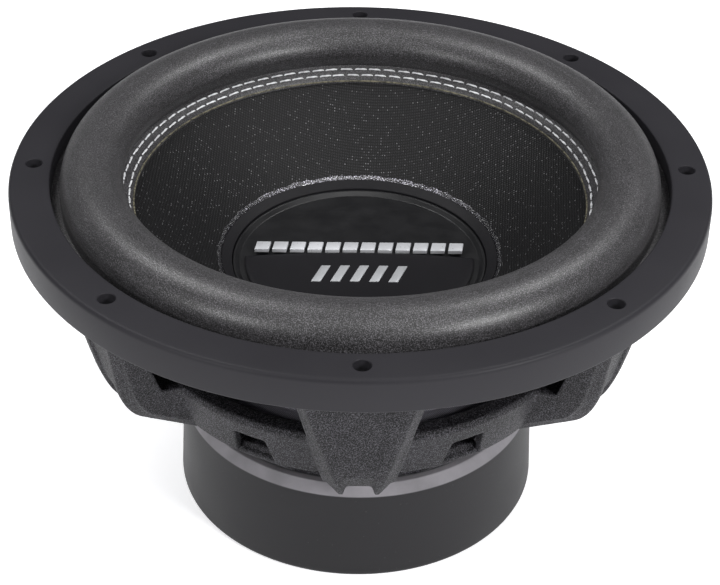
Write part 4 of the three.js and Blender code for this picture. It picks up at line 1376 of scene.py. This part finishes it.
def braided_lead(pair, material):
    """Lead of six wire bundles twisted round its route."""
    node = f"tinsel_lead_{pair}"
    route = curve_through(lead_path(pair), 16)
    strands = []
    for bundle in circle(6):
        rings = []
        for i, here in enumerate(route):
            run = (route[min(i + 1, len(route) - 1)] - route[max(i - 1, 0)]).normalized()
            across = run.cross(Vector((1, 0.2, 0))).normalized()
            up = run.cross(across)
            twist = bundle + BUNDLE_TWIST * i
            centre = here + (across * math.cos(twist) + up * math.sin(twist)) * LEAD_R
            rings.append([
                centre + (across * math.cos(a) + up * math.sin(a)) * BUNDLE_R for a in circle(6)
            ])
        strands.append(swept("strand", rings))
    obj = joined(f"braided_lead_{pair}", strands)
    start, end = route[20] * MM, route[-4] * MM
    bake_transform(obj, FRAME_BODY, CONE_BODY, start=start, end=end)
    finish_piece(obj, material, FRAME_BODY, "braid", node)


def terminals():
    steel = metal("zinc_steel", (0.55, 0.56, 0.58), 0.32, (1, 12, 1))
    block_plastic = satin_plastic("block_plastic", 0.028, 0.44)
    red = gloss_plastic("red_plastic", (0.45, 0.012, 0.012), 0.25)
    black = gloss_plastic("black_plastic", (0.014, 0.014, 0.016), 0.25)
    copper_braid = braid()
    plate_screws(steel)
    for side in ("left", "right"):
        node = f"terminal_block_{side}"
        block = bevelled(copy_of(node, f"terminal_housing_{side}"), 0.35)
        finish_piece(block, block_plastic, FRAME_BODY, "trim_plastic", node)
        terminal_screw(side, steel)
        for pole in ("minus", "plus"):
            pair = f"{side}_{pole}"
            push_button(pair, red if pole == "plus" else black)
            contact = bevelled(copy_of(f"contact_{pair}", f"contact_strip_{pair}"), 0.15, 2)
            finish_piece(contact, steel, FRAME_BODY, "screw_steel", f"contact_{pair}")
            braided_lead(pair, copper_braid)


def spider():
    """Corrugated cloth disc that centres the coil."""
    inner = neck_r + SPIDER_COLLAR_T
    outer = high("spider", X)
    flat_r = LEDGE_INNER_R - 1
    foot, top = ledge_z - SPIDER_COLLAR_H, ledge_z + SPIDER_COLLAR_H
    waves = 6
    line = []
    for t in shares(96):
        height = SPIDER_WAVE_H * min(1.0, 6 * t, 6 * (1 - t))
        line.append((inner + (flat_r - inner) * t, ledge_z + height * math.sin(2 * math.pi * waves * t)))
    outline = [
        (neck_r, foot), (neck_r, top), (inner, top), *[(r, z + SPIDER_T) for r, z in line],
        (outer, ledge_z + SPIDER_T), (outer, ledge_z), *reversed(line), (inner, foot),
    ]
    obj = turned("corrugated_spider", outline, 200, 60)
    flex_with_cone(obj, LEDGE_INNER_R, neck_r + 2)
    cloth = weave("spider_cloth", 0.7, 0.08, 0.3, 0.0, turn=30, depth=0.2, smooth=0.6)
    finish_piece(obj, cloth, FRAME_BODY, "spider_cloth", "spider")


def make_floor():
    size = 6.0
    mesh = bpy.data.meshes.new("floor")
    corners = [(-size, -size, 0), (size, -size, 0), (size, size, 0), (-size, size, 0)]
    mesh.from_pydata(corners, [], [(0, 1, 2, 3)])
    floor = add_object("floor", mesh)
    floor.location.z = -0.0005
    mesh.materials.append(backdrop())


# -------- assembly
make_camera()
make_light()
make_floor()
basket()
trim_ring()
surround()
cone()
stitching()
cap_ring()
glue_bead()
dust_cap()
emblem()
spider()
motor()
magnet_boot()
vent_screen()
terminals()
